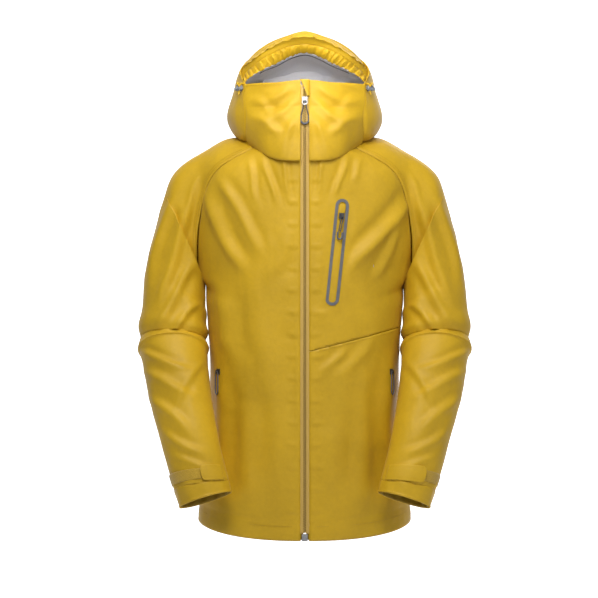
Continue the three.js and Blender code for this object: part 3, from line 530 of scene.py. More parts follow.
class Recipe:
    """A material being put together from nodes."""

    def __init__(self, name):
        self.material = bpy.data.materials.new(name)
        self.material.use_nodes = True
        self.tree = self.material.node_tree
        self.shader = self.tree.nodes["Principled BSDF"]
        self.where = self.tree.nodes.new("ShaderNodeTexCoord")

    def put(self, kind, **values):
        node = self.tree.nodes.new(kind)
        for key, value in values.items():
            if hasattr(node, key):
                setattr(node, key, value)
            else:
                node.inputs[key.replace("_", " ")].default_value = value
        return node

    def join(self, out, into):
        self.tree.links.new(out, into)

    def noise(self, scale, detail=4.0, rough=0.55, distort=0.0):
        node = self.put("ShaderNodeTexNoise", Scale=scale, Detail=detail, Roughness=rough,
                        Distortion=distort)
        self.join(self.where.outputs["Object"], node.inputs["Vector"])
        return node.outputs["Fac"]

    def waves(self, pitch, axis, uv=True):
        node = self.put("ShaderNodeTexWave", wave_type="BANDS", bands_direction=axis,
                        Scale=2 * math.pi / (20 * pitch), Distortion=0.25, Detail=1.0)
        self.join(self.where.outputs["UV" if uv else "Object"], node.inputs["Vector"])
        return node.outputs["Fac"]

    def sum(self, a, b, factor):
        node = self.put("ShaderNodeMath", operation="MULTIPLY_ADD")
        self.join(b, node.inputs[0])
        node.inputs[1].default_value = factor
        self.join(a, node.inputs[2])
        return node.outputs[0]

    def tint(self, fac, low, high, start=0.3, stop=0.7):
        node = self.put("ShaderNodeValToRGB")
        node.color_ramp.elements[0].position = start
        node.color_ramp.elements[0].color = (*low, 1)
        node.color_ramp.elements[1].position = stop
        node.color_ramp.elements[1].color = (*high, 1)
        self.join(fac, node.inputs["Fac"])
        self.join(node.outputs["Color"], self.shader.inputs["Base Color"])

    def range(self, fac, low, high, socket):
        node = self.put("ShaderNodeMapRange")
        node.inputs["To Min"].default_value = low
        node.inputs["To Max"].default_value = high
        self.join(fac, node.inputs["Value"])
        self.join(node.outputs["Result"], self.shader.inputs[socket])

    def relief(self, steps):
        """Bumps laid over each other: (height, depth in metres, strength)."""
        last = None
        for fac, depth, strength in steps:
            node = self.put("ShaderNodeBump", Strength=strength, Distance=depth)
            self.join(fac, node.inputs["Height"])
            if last:
                self.join(last, node.inputs["Normal"])
            last = node.outputs["Normal"]
        self.join(last, self.shader.inputs["Normal"])

    def set(self, **values):
        for key, value in values.items():
            self.shader.inputs[key.replace("_", " ")].default_value = value
        return self.material


def shade(colour, k):
    return tuple(min(c * k, 1.0) for c in colour[:3])


def woven(name, colour, rough=0.45, pitch=0.0011, contrast=0.1, wrinkle=0.0005, sheen=0.15,
          coat=0.0):
    r = Recipe(name)
    broad = r.noise(9, 4)
    fine = r.noise(160, 3)
    r.tint(r.sum(broad, fine, 0.35), shade(colour, 1 - contrast), shade(colour, 1 + contrast),
           0.45, 0.9)
    r.range(r.noise(40, 3), rough - 0.06, rough + 0.08, "Roughness")
    weave = r.sum(r.waves(pitch, "X"), r.waves(pitch, "Y"), 1.0)
    r.relief([(r.noise(28, 5, 0.6, 0.5), wrinkle * 3.2, 0.5),
              (r.noise(110, 4, 0.6, 0.3), wrinkle, 0.5), (weave, 0.00006, 0.35)])
    return r.set(Sheen_Weight=sheen, Sheen_Roughness=0.4, Coat_Weight=coat, Coat_Roughness=0.45,
                 Specular_IOR_Level=0.42)


def shell_cloth():
    return woven("shell cloth", settings().cloth_colour, 0.58, coat=0.0, sheen=0.04)


def shaded_shell_cloth():
    # Painted shade: the shell colour at 0.52 of its brightness, for the turned hem, cuff facings and
    # storm flap, which sit where shade falls.
    return woven("shell cloth in painted shade", shade(settings().cloth_colour, 0.52), 0.6, sheen=0.05)


def lining_cloth():
    return woven("lining cloth", settings().lining_colour, 0.5, 0.0009, 0.05, 0.0005, 0.1)


def tape_cloth():
    r = Recipe("zip tape")
    colour = settings().tape_colour
    rib = r.waves(0.0016, "Y")
    r.tint(r.sum(rib, r.noise(300, 2), 0.5), shade(colour, 0.82), shade(colour, 1.08), 0.2, 1.0)
    r.relief([(rib, 0.00012, 0.5), (r.noise(400, 2), 0.00005, 0.4)])
    return r.set(Roughness=0.6, Sheen_Weight=0.1)


def hook_cloth():
    r = Recipe("hook and loop")
    colour = shade(settings().cloth_colour, 0.92)
    pile = r.noise(900, 3, 0.7)
    r.tint(pile, shade(colour, 0.72), tuple(c * 1.1 + 0.02 for c in colour))
    r.relief([(pile, 0.0005, 0.8), (r.waves(0.0015, "X"), 0.0002, 0.4)])
    return r.set(Roughness=0.8, Sheen_Weight=0.3)


def thread():
    r = Recipe("thread")
    colour = shade(settings().cloth_colour, 0.8)
    r.tint(r.noise(1500, 2), shade(colour, 0.85), shade(colour, 1.15))
    r.relief([(r.waves(0.0005, "DIAGONAL", False), 0.0001, 0.5)])
    return r.set(Roughness=0.55)


def moulded(name, colour, rough, grain=0.00005, clear=0.0, metal=0.0):
    r = Recipe(name)
    r.tint(r.noise(120, 3), shade(colour, 0.86), shade(colour, 1.14))
    r.range(r.noise(500, 2), rough - 0.05, rough + 0.08, "Roughness")
    r.relief([(r.noise(1400, 2, 0.6), grain, 0.35), (r.noise(90, 3), 0.0001, 0.2)])
    return r.set(Metallic=metal, Transmission_Weight=clear, IOR=1.49, Specular_IOR_Level=0.5)


def braided():
    r = Recipe("braided cord")
    braid = r.sum(r.waves(0.0013, "DIAGONAL", False), r.waves(0.0013, "Z", False), 0.7)
    r.tint(braid, (0.03, 0.03, 0.034), (0.09, 0.09, 0.1), 0.4, 1.3)
    r.relief([(braid, 0.0002, 0.7)])
    return r.set(Roughness=0.7)


def floor_paint():
    """Pale paint that glows on the backdrop behind the jacket."""
    r = Recipe("floor paint")
    split = r.put("ShaderNodeSeparateXYZ")
    r.join(r.where.outputs["Object"], split.inputs["Vector"])
    glow = r.put("ShaderNodeMapRange", From_Min=0.9, From_Max=1.7, To_Min=0.2, To_Max=1.0)
    r.join(split.outputs["Y"], glow.inputs["Value"])
    r.join(glow.outputs["Result"], r.shader.inputs["Emission Strength"])
    return r.set(Base_Color=(0.9, 0.9, 0.9, 1), Roughness=0.8, Emission_Color=(1, 1, 1, 1))


def once(make):
    kept = {}

    def get():
        if "m" not in kept:
            kept["m"] = make()
        return kept["m"]

    return get


FINISHES = {
    "shell": once(shell_cloth),
    # "inside" is the shell cloth darkened as painted shade for the inner faces.
    "inside": once(shaded_shell_cloth),
    "lining": once(lining_cloth),
    "tape": once(tape_cloth),
    "hook": once(hook_cloth),
    "thread": once(thread),
    "seam": once(lambda: moulded("seam tape", (0.13, 0.14, 0.16), 0.5)),
    "film": once(lambda: moulded("welded film", (0.13, 0.13, 0.135), 0.55, 0.00008)),
    "grip": once(lambda: moulded("soft grip", (0.11, 0.11, 0.12), 0.5)),
    "lock": once(lambda: moulded("smoky plastic", (0.3, 0.32, 0.34), 0.25, 0.00003, 0.35)),
    "metal": once(lambda: moulded("dark metal", (0.16, 0.16, 0.17), 0.35, 0.00003, 0, 1.0)),
    "bright": once(lambda: moulded("bare metal", (0.62, 0.62, 0.63), 0.28, 0.00003, 0, 1.0)),
    "cord": once(braided),
    "floor": once(floor_paint),
}

# ------------------------------------------------------------ panels in detail
CHEST = (0, -10, 420)
RIGHT_FOLDS = [(176, 622, 108, 486, 13, 5.0), (150, 650, 76, 520, 10, 3.0),
               (73, 684, 48, 600, 6, 2.6), (40, 692, 26, 610, 5, 1.8), (98, 684, 84, 606, 6, 2.2),
               (160, 470, 120, 330, 20, 4.0), (150, 330, 146, 70, 17, 4.0),
               (70, 440, 48, 120, 30, 3.2), (20, 560, 60, 470, 14, 2.0), (110, 300, 90, 60, 24, 2.6)]
LEFT_FOLDS = [(190, 622, 78, 484, 14, 6.0), (170, 560, 120, 470, 10, 3.2),
              (73, 684, 48, 600, 6, 2.6), (32, 692, 22, 610, 5, 1.8), (98, 684, 84, 640, 6, 2.0),
              (70, 352, 30, 306, 9, 2.6), (60, 480, 22, 400, 12, 2.4), (120, 372, 60, 300, 12, 2.2),
              (150, 330, 146, 70, 17, 4.0), (64, 330, 44, 90, 28, 3.2), (108, 290, 92, 60, 22, 2.6)]
ZIP_PUCKERS = [(9, z, 30, z + 5, 5, 1.0) for z in range(70, 700, 38)]


def flat_front(x, z):
    """Depth of the frame's faceted body at points of the front view."""
    half = np.interp(z, [r[0] for r in TRUNK], [r[1] for r in TRUNK])
    steps = np.radians(np.arange(0, 91, 15))
    xs = np.sin(steps) ** (2 / ROUND)
    ys = np.cos(steps) ** (2 / ROUND)
    return -FRONT * np.interp(np.abs(x) / half, xs, ys)


def near_pocket(x, z):
    """1 around the chest pocket, falling to 0 clear of it."""
    middle = 56 + (z - 518) * 0.1086
    aside = np.abs(x - middle) - 12.5
    beyond = np.abs(z - 518) - 93
    return 1 - ease((np.maximum(aside, beyond) - 2) / 14)


def front_place(lines, pocket=False):
    def place(u, v):
        p = body_panel(True, u, v)
        rim = ease(np.minimum(np.minimum(u / 0.05, (1 - u) / 0.06), (1 - v) / 0.03))
        lift = creases(p[:, 0], p[:, 2], lines) * rim
        lift += creases(p[:, 0], p[:, 2], ZIP_PUCKERS) * ease(u / 0.02)
        edge = -1.8 * np.exp(-((1 - u) / 0.012) ** 2) - 1.2 * np.exp(-(u / 0.01) ** 2)
        hem = -1.0 * np.exp(-((p[:, 2] - mix(48, 72, np.abs(p[:, 0]) / 190)) / 2.2) ** 2)
        out = away(p, (0, -10, 0), level=True)
        p = p + out * (lift + edge + hem)[:, None]
        if pocket:
            level = flat_front(p[:, 0], p[:, 2])
            p[:, 1] = mix(p[:, 1], level + 0.1, near_pocket(p[:, 0], p[:, 2]))
        return p
    return place


BACK_FOLDS = [(120, 640, 90, 440, 22, 4.0), (40, 690, 50, 420, 26, 3.0),
              (150, 330, 146, 60, 18, 4.0), (70, 420, 60, 90, 30, 3.6),
              (170, 560, 130, 450, 14, 3.6), (10, 560, 16, 80, 30, 2.0)]


def back_place(u, v):
    p = body_panel(False, np.abs(2 * u - 1), v)
    p[:, 0] *= np.where(u < 0.5, -1, 1)
    k = np.abs(2 * u - 1)
    lift = creases(np.abs(p[:, 0]), p[:, 2], BACK_FOLDS) * ease((1 - k) / 0.08) * ease((1 - v) / 0.03)
    edge = -1.8 * np.exp(-((1 - k) / 0.012) ** 2)
    return p + away(p, (0, -10, 0), level=True) * (lift + edge)[:, None]


ARM_FOLDS = [(205, 600, 258, 430, 12, 5.0), (236, 620, 280, 470, 10, 3.6),
             (196, 500, 262, 388, 11, 4.2), (190, 430, 240, 372, 8, 3.2),
             (186, 660, 214, 560, 9, 2.6)]
FORE_FOLDS = [(290, 344, 196, 316, 7, 3.6), (282, 312, 188, 270, 9, 3.4),
              (268, 270, 196, 214, 10, 3.2), (180, 330, 226, 250, 8, 2.4),
              (244, 210, 168, 172, 8, 2.6), (226, 170, 150, 150, 6, 1.8)]


def out_of_arm(p, s):
    centre, _, _, run, _, _, _ = sleeve_frame(s)
    out = p - centre
    out -= run * (out * run).sum(-1, keepdims=True)
    return out / np.linalg.norm(out, axis=-1, keepdims=True)


def upper_sleeve_place(u, v):
    """v runs from the neck down to the elbow; the top part is the cap."""
    share = 0.5
    cap = sleeve_cap(u, np.clip(v / share, 0, 1))
    s = mix(ARMPIT, ELBOW, np.clip((v - share) / (1 - share), 0, 1))
    tube = sleeve(s, mix(-math.pi, math.pi, u))
    p = np.where((v < share)[:, None], cap, tube)
    station = np.where(v < share, 6.0 * v / share, s)
    out = out_of_arm(p, station)
    rim = np.where(v < share, ease(np.minimum(u, 1 - u) / 0.08), 1.0)
    face = np.where(out[:, 1] < 0, 1.0, 0.7)
    lift = creases(p[:, 0], p[:, 2], ARM_FOLDS) * rim * face
    seam = np.where(v < share, -1.8 * np.exp(-(np.minimum(u, 1 - u) / 0.016) ** 2), 0.0)
    lip = 3.2 * np.exp(-(((v - 0.965) / 0.02) ** 2)) - 3.0 * ease((v - 0.975) / 0.025)
    swell = 2.6 * np.exp(-(((v - 0.88) / 0.035) ** 2)) * (0.6 + 0.4 * np.sin(3 * math.pi * u + 0.6))
    return p + out * (lift + lip + seam + swell)[:, None]


def lower_sleeve_place(u, v):
    s = mix(ELBOW - 0.1, CUFF_SEAM, v)
    p = sleeve(s, mix(-math.pi, math.pi, u))
    out = out_of_arm(p, s)
    lift = creases(p[:, 0], p[:, 2], FORE_FOLDS) * ease(v / 0.1) * ease((1 - v) / 0.06)
    tuck = -4.5 * (1 - ease(v / 0.055)) + 3.0 * np.exp(-(((v - 0.1) / 0.035) ** 2))
    gather = 1.0 * ease((v - 0.86) / 0.14) * np.sin(u * 46) * (1 - ease((v - 0.985) / 0.015))
    return p + out * (lift + tuck + gather)[:, None]


# ----------------------------------------------------------- hood in detail
STRIP_LINE = [tuple(neck(np.array(STRIP_ANGLE))), (52, 100, 760), (54, 112, 790),
              (54, 112, 815), (52, 104, 841), (50, 85, 862), (48, 55, 880), (48, 10, 893),
              (49, -40, 895), (50, -70, 894)]
CHIN_LINE = [tuple(neck(np.array(CHIN_ANGLE))), (97, -95, 735), (100, -106, 757),
             (102, -99, 785), (102, -92, 812)]
CORNER = (116, -45, 836)
PEAK_LINE = [CORNER, (108, -38, 852), (97, -44, 865), (80, -56, 879), (50, -70, 894)]
EDGE_LINE = [(108, 846), (100, 850.5), (85, 858), (72, 866), (58, 873), (40, 880.5), (20, 886.5),
             (0, 889)]
BAND_TOP = [(110, -60, 826), (104, -64, 836), (90, -80, 846), (72, -98, 857), (56, -106, 865),
            (40, -112, 871), (20, -113, 877), (0, -114, 879)]
BAND_FOOT = [(104, -84, 817), (100, -86, 822), (75, -96, 836), (48, -100, 848), (21, -101, 861),
             (0, -100, 866)]


def both_ways(half):
    """A left half line, drawn corner to middle, with its mirror image before it."""
    left = [tuple(p) for p in half]
    return [(-x, y, z) for x, y, z in left] + [(x, y, z) for x, y, z in left[::-1]][1:]


def edge_points():
    xs = np.array([p[0] for p in EDGE_LINE], float)
    zs = np.array([p[1] for p in EDGE_LINE], float)
    return [CORNER] + [tuple(p) for p in front_of_hood(xs, zs)]


def side_place(u, v):
    foot = neck(mix(CHIN_ANGLE, STRIP_ANGLE, u))
    front = CHIN_LINE + [(112, -72, 824), CORNER]
    p = cast(patch(u, v, lambda t: neck(mix(CHIN_ANGLE, STRIP_ANGLE, t)),
                   lambda t: along(PEAK_LINE, t), lambda t: along(front, t),
                   lambda t: along(STRIP_LINE, t)))
    p = p + (1 - ease(v / 0.12))[:, None] * (foot - cast(foot))
    out = away(p, HEART)
    rim = np.minimum(np.minimum(u, 1 - u), np.minimum(v, 1 - v))
    sag = 2.5 * np.sin(9 * v + 4 * u) * ease(rim / 0.1)
    return p + out * (sag - 1.6 * np.exp(-((rim / 0.018) ** 2)))[:, None]


def strip_place(u, v):
    def foot(t):
        return neck(mix(math.radians(116.8), STRIP_ANGLE, t))

    p = cast(patch(u, v, foot, lambda t: along([(-50, -70, 894), (0, -70, 906), (50, -70, 894)], t),
                   lambda t: along(STRIP_LINE, t) * np.array([-1, 1, 1]),
                   lambda t: along(STRIP_LINE, t)))
    p = p + (1 - ease(v / 0.1))[:, None] * (foot(u) - cast(foot(u)))
    rim = np.minimum(np.minimum(u, 1 - u), 1 - v)
    return p - away(p, HEART) * (1.6 * np.exp(-((rim / 0.03) ** 2)))[:, None]


def brim_place(u, v):
    edge = along(both_ways(edge_points()), u)
    seam_line = along(both_ways(PEAK_LINE + [(0, -70, 906)]), u)
    p = edge + (seam_line - edge) * v[:, None]
    arch = (np.sin(math.pi * v) ** 0.4)[:, None] * ease(np.minimum(u, 1 - u) / 0.06)[:, None]
    p = p + (cast(p) - p) * arch
    out = away(p, (0, -30, 800))
    width = ease(np.minimum(u, 1 - u) / 0.12)
    pucker = (0.9 * np.sin(u * 118) + 0.7 * np.sin(u * 71 + 1)) * np.exp(-((v / 0.3) ** 2)) * width
    seam = -1.6 * np.exp(-(((v - 0.36) / 0.06) ** 2)) * width
    return p + out * (pucker + seam + 1.6 * np.exp(-((v / 0.14) ** 2)) * width)[:, None]


def under_brim_place(u, v):
    a = along(both_ways(edge_points()), u)
    b = along(both_ways(BAND_TOP), u)
    p = a + (b - a) * v[:, None]
    p[:, 2] += 2.0 * np.sin(math.pi * v)
    return p


def face_band_place(u, v):
    a = along(both_ways(BAND_TOP), u)
    b = along(both_ways(BAND_FOOT), u)
    p = a + (b - a) * v[:, None]
    bulge = np.sin(math.pi * np.clip(v * 1.06 - 0.03, 0, 1)) ** 0.7
    phase = u * 150 + 2.4 * np.sin(u * 17) + 1.4 * v
    pleat = np.sin(phase) * 1.9 + 1.3 * np.sin(phase * 0.47 + 2.0 * v) + 0.6 * np.sin(phase * 2.1)
    p[:, 1] -= bulge * (4.0 + pleat)
    p[:, 2] += bulge * pleat * 0.35 - (1 - bulge) * 0.4 * pleat * (v > 0.5)
    return p


def hood_lining_place(u, v):
    foot = along(both_ways(BAND_FOOT), u)
    k = (1 - np.clip(v, 0, 1) ** 3.4) ** 0.42
    p = foot.copy()
    p[:, 0] = foot[:, 0] * k
    p[:, 1] = mix(foot[:, 1] + 0.5, 99.0, v ** 0.8)
    p[:, 2] = 808 + (foot[:, 2] - 808) * k - 5 * np.sin(math.pi * np.clip(v * 1.4, 0, 1)) * k
    lump = mottle(p, 26, 2) * 2.6 + mottle(p, 55, 1) * 3.2
    p[:, 2] += lump * ease(v / 0.12) * k
    return p


def neck_lining_place(u, v):
    t = 2 * u - 1
    x = 96 * np.sin(t * math.pi / 2)
    top = 854 - 36 * ease((np.abs(x) - 44) / 46)
    z = mix(742, top, v)
    y = 52 - 105 * (np.abs(x) / 96) ** 2.6
    p = np.stack([x, y + 6 * np.sin(math.pi * v), z], -1)
    fold = creases(p[:, 0], p[:, 2], [(50, 850, 20, 818, 7, 4), (-52, 850, -84, 822, 6, 4),
                                      (70, 846, 90, 818, 6, 4)])
    p[:, 1] -= fold + 1.5 * mottle(p, 24, 1)
    return p


def chin_place(u, v):
    seam = along(CHIN_LINE, v)
    foot_a = mix(math.radians(-90), CHIN_ANGLE, u)
    foot = neck(foot_a)
    foot[:, 0] = np.maximum(foot[:, 0], 7.0)
    collar = 814 - 3.5 * ease(u / 0.5) + 1.5 * ease((u - 0.6) / 0.4)
    x = mix(7.0, seam[:, 0], u)
    z = mix(mix(695, 711, u ** 3), mix(collar, 812, u ** 3), v)
    p = front_of_hood(x, z)
    p = p + (ease((u - 0.7) / 0.3))[:, None] * (cast(seam) - p)
    p = p + (1 - ease(v / 0.16))[:, None] * (foot - p)
    puff = np.sin(math.pi * np.clip(v / 0.62, 0, 1)) ** 0.8
    out = away(p, (0, -12, 0), level=True)
    lines = [(20, 800, 84, 772, 9, 4.0), (12, 776, 66, 742, 10, 4.0), (96, 790, 50, 752, 9, 3.4),
             (92, 756, 36, 722, 10, 4.4), (16, 742, 40, 704, 8, 3.0), (60, 812, 98, 796, 6, 2.6)]
    rim = np.minimum(np.minimum(u, 1 - u) * 1.2, v)
    lift = 11.0 * puff + 0.6 * creases(x, z, lines) * ease(rim / 0.06)
    edge = -1.6 * np.exp(-(((1 - u) / 0.02) ** 2)) - 2.5 * (1 - ease(v / 0.03))
    lift = lift * mix(1.0, ease((1 - u) / 0.5), ease((u - 0.3) / 0.7))
    droop = 24 * np.exp(-(((v - 0.075) / 0.075) ** 2)) * (1 - 0.75 * ease((u - 0.25) / 0.75))
    p[:, 2] -= droop * ease(v / 0.04)
    return p + out * (lift + edge + 0.25 * droop)[:, None]


# ----------------------------------------------------------------- operators
DRAWING_EYE = (-9.9, -3100, 437.4)
LENS = 103.7
# Name, place, aim, size in metres, watts, spread in degrees.
LAMPS = (("key", (-130, -1150, 1450), (0, -60, 480), 0.6, 14, 180),
         ("fill", (1700, -1500, 900), (0, -60, 400), 1.2, 5, 180),
         ("top", (0, -300, 1900), (0, 0, 600), 0.8, 9, 180),
         ("face", (-10, -800, 905), (0, 0, 850), 0.2, 1.1, 180),
         ("hood", (0, -480, 872), (0, 40, 856), 0.2, 0.12, 50),
         ("back", (700, 2300, 1500), (0, 0, 500), 1.2, 14, 180))
FLOOR_LINE = ((-2500, -520), (2600, -520), (3100, -420), (3450, -150), (3600, 400), (3600, 3400))


class JACKET_OT_stage(bpy.types.Operator):
    """Makes the pale floor, the studio lights and the camera"""

    bl_idname = "jacket.stage"
    bl_label = "Studio"
    bl_options = {"REGISTER", "UNDO"}

    def execute(self, context):
        scene = context.scene
        data = bpy.data.cameras.new("camera")
        data.sensor_width = 36
        data.lens = LENS
        camera = bpy.data.objects.new("camera", data)
        camera.location = Vector(at(DRAWING_EYE))
        camera.rotation_euler = (math.pi / 2, 0, 0)
        scene.collection.objects.link(camera)
        scene.camera = camera
        scene.view_settings.view_transform = "Standard"
        bm = bmesh.new()
        verts = [bm.verts.new(at((-4000, y, z))) for y, z in FLOOR_LINE]
        edges = [bm.edges.new(pair) for pair in zip(verts, verts[1:])]
        new = bmesh.ops.extrude_edge_only(bm, edges=edges)["geom"]
        bmesh.ops.translate(bm, verts=[g for g in new if isinstance(g, bmesh.types.BMVert)],
                            vec=(8, 0, 0))
        bmesh.ops.recalc_face_normals(bm, faces=bm.faces[:])
        mesh = bpy.data.meshes.new("floor")
        bm.to_mesh(mesh)
        bm.free()
        floor = bpy.data.objects.new("floor", mesh)
        scene.collection.objects.link(floor)
        mesh.materials.append(FINISHES["floor"]())
        mesh.polygons.foreach_set("use_smooth", [True] * len(mesh.polygons))
        world = bpy.data.worlds.new("studio")
        scene.world = world
        world.use_nodes = True
        world.node_tree.nodes["Background"].inputs["Color"].default_value = (1, 1, 1, 1)
        world.node_tree.nodes["Background"].inputs["Strength"].default_value = 0.2
        for name, spot, aim, size, power, spread in LAMPS:
            lamp = bpy.data.lights.new(name, "AREA")
            lamp.size = size
            lamp.energy = power
            lamp.spread = math.radians(spread)
            light = bpy.data.objects.new(name, lamp)
            light.location = Vector(at(spot))
            turn = Vector(at(aim)) - light.location
            light.rotation_euler = turn.to_track_quat("-Z", "Y").to_euler()
            scene.collection.objects.link(light)
        return {"FINISHED"}


class JACKET_OT_body(bpy.types.Operator):
    """Cuts and sews the front and back panels of the body, with their stitching and the hem turning"""

    bl_idname = "jacket.body"
    bl_label = "Body panels"
    bl_options = {"REGISTER", "UNDO"}

    def execute(self, context):
        cloth("cloth_front_right", 70, 170, front_place(RIGHT_FOLDS), "shell", CHEST, -1,
              replaces=["front_right"], crumple=1.7, seed=0)
        slope = Vector((-0.245, 0, 0.97)).normalized()
        cloth("cloth_front_left_upper", 70, 170, front_place(LEFT_FOLDS, True), "shell", CHEST, 1,
              replaces=["front_left_upper"], crumple=1.7, seed=1,
              calm=near_pocket, cut=((7, 0, 347.6), -slope))
        cloth("cloth_front_left_lower", 70, 170, front_place(LEFT_FOLDS, True), "shell", CHEST, 1,
              replaces=["front_left_lower"], crumple=1.7, seed=1,
              calm=near_pocket, cut=((7, 0, 346.4), slope))
        cloth("cloth_back", 120, 150, back_place, "shell", CHEST, 1,
              replaces=["back_panel"], crumple=2.2, seed=2)
        self.threads()
        self.hem()
        return {"FINISHED"}

    def threads(self):
        bm = bmesh.new()
        v = np.linspace(0.03, 1, 120)
        for side in (1, -1):
            place = front_place(LEFT_FOLDS if side > 0 else RIGHT_FOLDS)
            flip = np.array([side, 1, 1])
            u = np.full_like(v, 0.972)
            w = v[v > 0.6]
            line = place(u[: len(w)], w) * flip
            stitches(bm, line, line - np.array([0, 40, 0]) * flip)
            x = np.linspace(0.03, 0.99, 80)
            hem = place(x, np.full_like(x, 0.037)) * flip
            stitches(bm, hem, hem * [1, 1, 0])
        z = np.linspace(0.06, 0.97, 120)
        place = front_place(LEFT_FOLDS)
        for shift in (3.0, -4.5):
            line = []
            for k in z:
                x = mix(9, 176, k)
                height = 347 + 0.2526 * (x - 7) + shift
                line.append([x, 0, height])
            line = np.array(line)
            line[:, 1] = drape(place, line[:, 0], line[:, 2])
            stitches(bm, line, line * [1, 1, 0] + [0, 10, 0])
        finish_mesh(bm, "body_stitching", "thread", smooth=False)

    def hem(self):
        def place(u, v):
            a = mix(math.radians(-89.5), math.radians(269.5), u)
            z = mix(23.0, 50.0, v)
            p = trunk(a, z + 0 * u)
            out = p * [1, 1, 0] / np.linalg.norm(p * [1, 1, 0], axis=1, keepdims=True)
            return p - out * 2.4
        cloth("hem_turning", 160, 6, place, "inside", (0, 0, 40), replaces=["hem_facing"],
              gauge=0.6)


def drape(place, x, z):
    """Depth of a laid panel at points of the front view."""
    u, v = np.meshgrid(np.linspace(0.01, 0.99, 60), np.linspace(0.02, 0.98, 160))
    p = place(u.ravel(), v.ravel())
    found = []
    for a, b in zip(x, z):
        d = (p[:, 0] - a) ** 2 + (p[:, 2] - b) ** 2
        near = np.argsort(d)[:4]
        w = 1 / (d[near] + 0.5)
        found.append((p[near, 1] * w).sum() / w.sum())
    return np.array(found)


class JACKET_OT_sleeves(bpy.types.Operator):
    """Makes the raglan sleeves in two pieces, parted at the elbow, with their stitching"""

    bl_idname = "jacket.sleeves"
    bl_label = "Sleeves"
    bl_options = {"REGISTER", "UNDO"}

    def execute(self, context):
        for name, side in SIDES:
            upper = cloth(f"cloth_sleeve_{name}_upper", 110, 130, upper_sleeve_place, "shell",
                          (232, -10, 520), side, crumple=1.6, seed=side + 2,
                          replaces=[f"shoulder_{name}", f"sleeve_{name}_upper"], body=None)
            self.hang(upper, name, side)
            lower = cloth(f"cloth_sleeve_{name}_lower", 100, 84, lower_sleeve_place, "shell",
                          (205, -90, 250), side, crumple=1.5, seed=side + 3,
                          replaces=[f"sleeve_{name}_lower"], body=None)
            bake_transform(lower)
            self.threads(name, side)
        return {"FINISHED"}

    def threads(self, name, side):
        bm = bmesh.new()
        flip = np.array([side, 1, 1])
        v = np.linspace(0.02, 0.47, 140)
        for u in (0.03, 0.055, 0.97):
            line = upper_sleeve_place(np.full_like(v, u), v) * flip
            centre = np.array([200, 0, 560]) * flip
            stitches(bm, line, line - centre)
        piece = finish_mesh(bm, f"sleeve_stitching_{name}", "thread", smooth=False, body=None)
        self.hang(piece, name, side)

    def hang(self, piece, name, side):
        """Bakes the placement of a piece of the upper sleeve into its mesh."""
        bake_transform(piece)


def on_cuff(x, s, lift):
    """A point on the front of the cuff: distance across it, station and height above it."""
    centre, across, front, _, width, fore, _ = sleeve_frame(s)
    c = np.clip(x / (width + lift), -1, 1)
    return (centre + across * ((width + lift) * c)[..., None]
            + front * ((fore + lift) * np.sqrt(1 - c * c))[..., None])


class JACKET_OT_cuffs(bpy.types.Operator):
    """Makes the cuffs, their facings, the hook strips and the tabs"""

    bl_idname = "jacket.cuffs"
    bl_label = "Cuffs and tabs"
    bl_options = {"REGISTER", "UNDO"}

    def execute(self, context):
        for name, side in SIDES:
            def cuff(u, v):
                s = mix(CUFF_SEAM - 0.02, 15.0, v)
                p = sleeve(s, mix(-math.pi, math.pi, u))
                out = out_of_arm(p, s)
                roll = 1.4 * np.exp(-((v - 0.93) / 0.05) ** 2) - 1.2 * np.exp(-(v / 0.05) ** 2)
                wave = 0.9 * np.sin(u * 38) * (1 - v) + 0.5 * np.sin(u * 61 + 1)
                return p + out * (roll + wave + 0.6)[:, None]

            def facing(u, v):
                s = mix(14.4, 14.99, v)
                p = sleeve(s, mix(-math.pi, math.pi, u), 3.2)
                return p + out_of_arm(p, s) * (1.6 * np.sin(u * 70 + 3 * v))[:, None]

            cloth(f"cloth_cuff_{name}", 110, 16, cuff, "shell", (170, -155, 98), side,
                  body=f"forearm_{name}", replaces=[f"cuff_{name}"], gauge=1.6)
            cloth(f"cuff_facing_{name}", 110, 8, facing, "inside", (170, -155, 98), side,
                  body=f"forearm_{name}", gauge=0.5)
            length = 66 if side > 0 else 36

            def tab(u, v):
                x = -42.5 + length * u
                end = np.sqrt(np.clip(1 - ((u - 0.86) / 0.14) ** 2 * (u > 0.86), 0, 1))
                half = 11.5 * mix(1.0, 0.86, u) * mix(0.35, 1.0, end)
                s = 15 - (38 + half * (1 - 2 * v)) / 41.0
                lift = 2.6 + 2.2 * u ** 2
                edge = -0.7 * np.exp(-((np.minimum(v, 1 - v)) / 0.07) ** 2)
                line = -0.5 * np.exp(-((np.minimum(v, 1 - v) - 0.16) / 0.04) ** 2)
                return on_cuff(x, s, lift + edge + line)

            cloth(f"cloth_cuff_tab_{name}", 48, 18, tab, "shell", (170, -150, 120), side,
                  body=f"cuff_tab_{name}", replaces=[f"cuff_tab_{name}"], gauge=1.3)

            def strip(u, v):
                x = -14 + 66 * u
                s = 15 - (38 + 6.5 * (1 - 2 * v)) / 41.0
                return on_cuff(x, s, 1.2 + 0 * u)

            cloth(f"hook_strip_{name}", 60, 10, strip, "hook", (170, -150, 120), side,
                  body=f"forearm_{name}", replaces=[f"cuff_strip_{name}"], gauge=0.9)
        return {"FINISHED"}


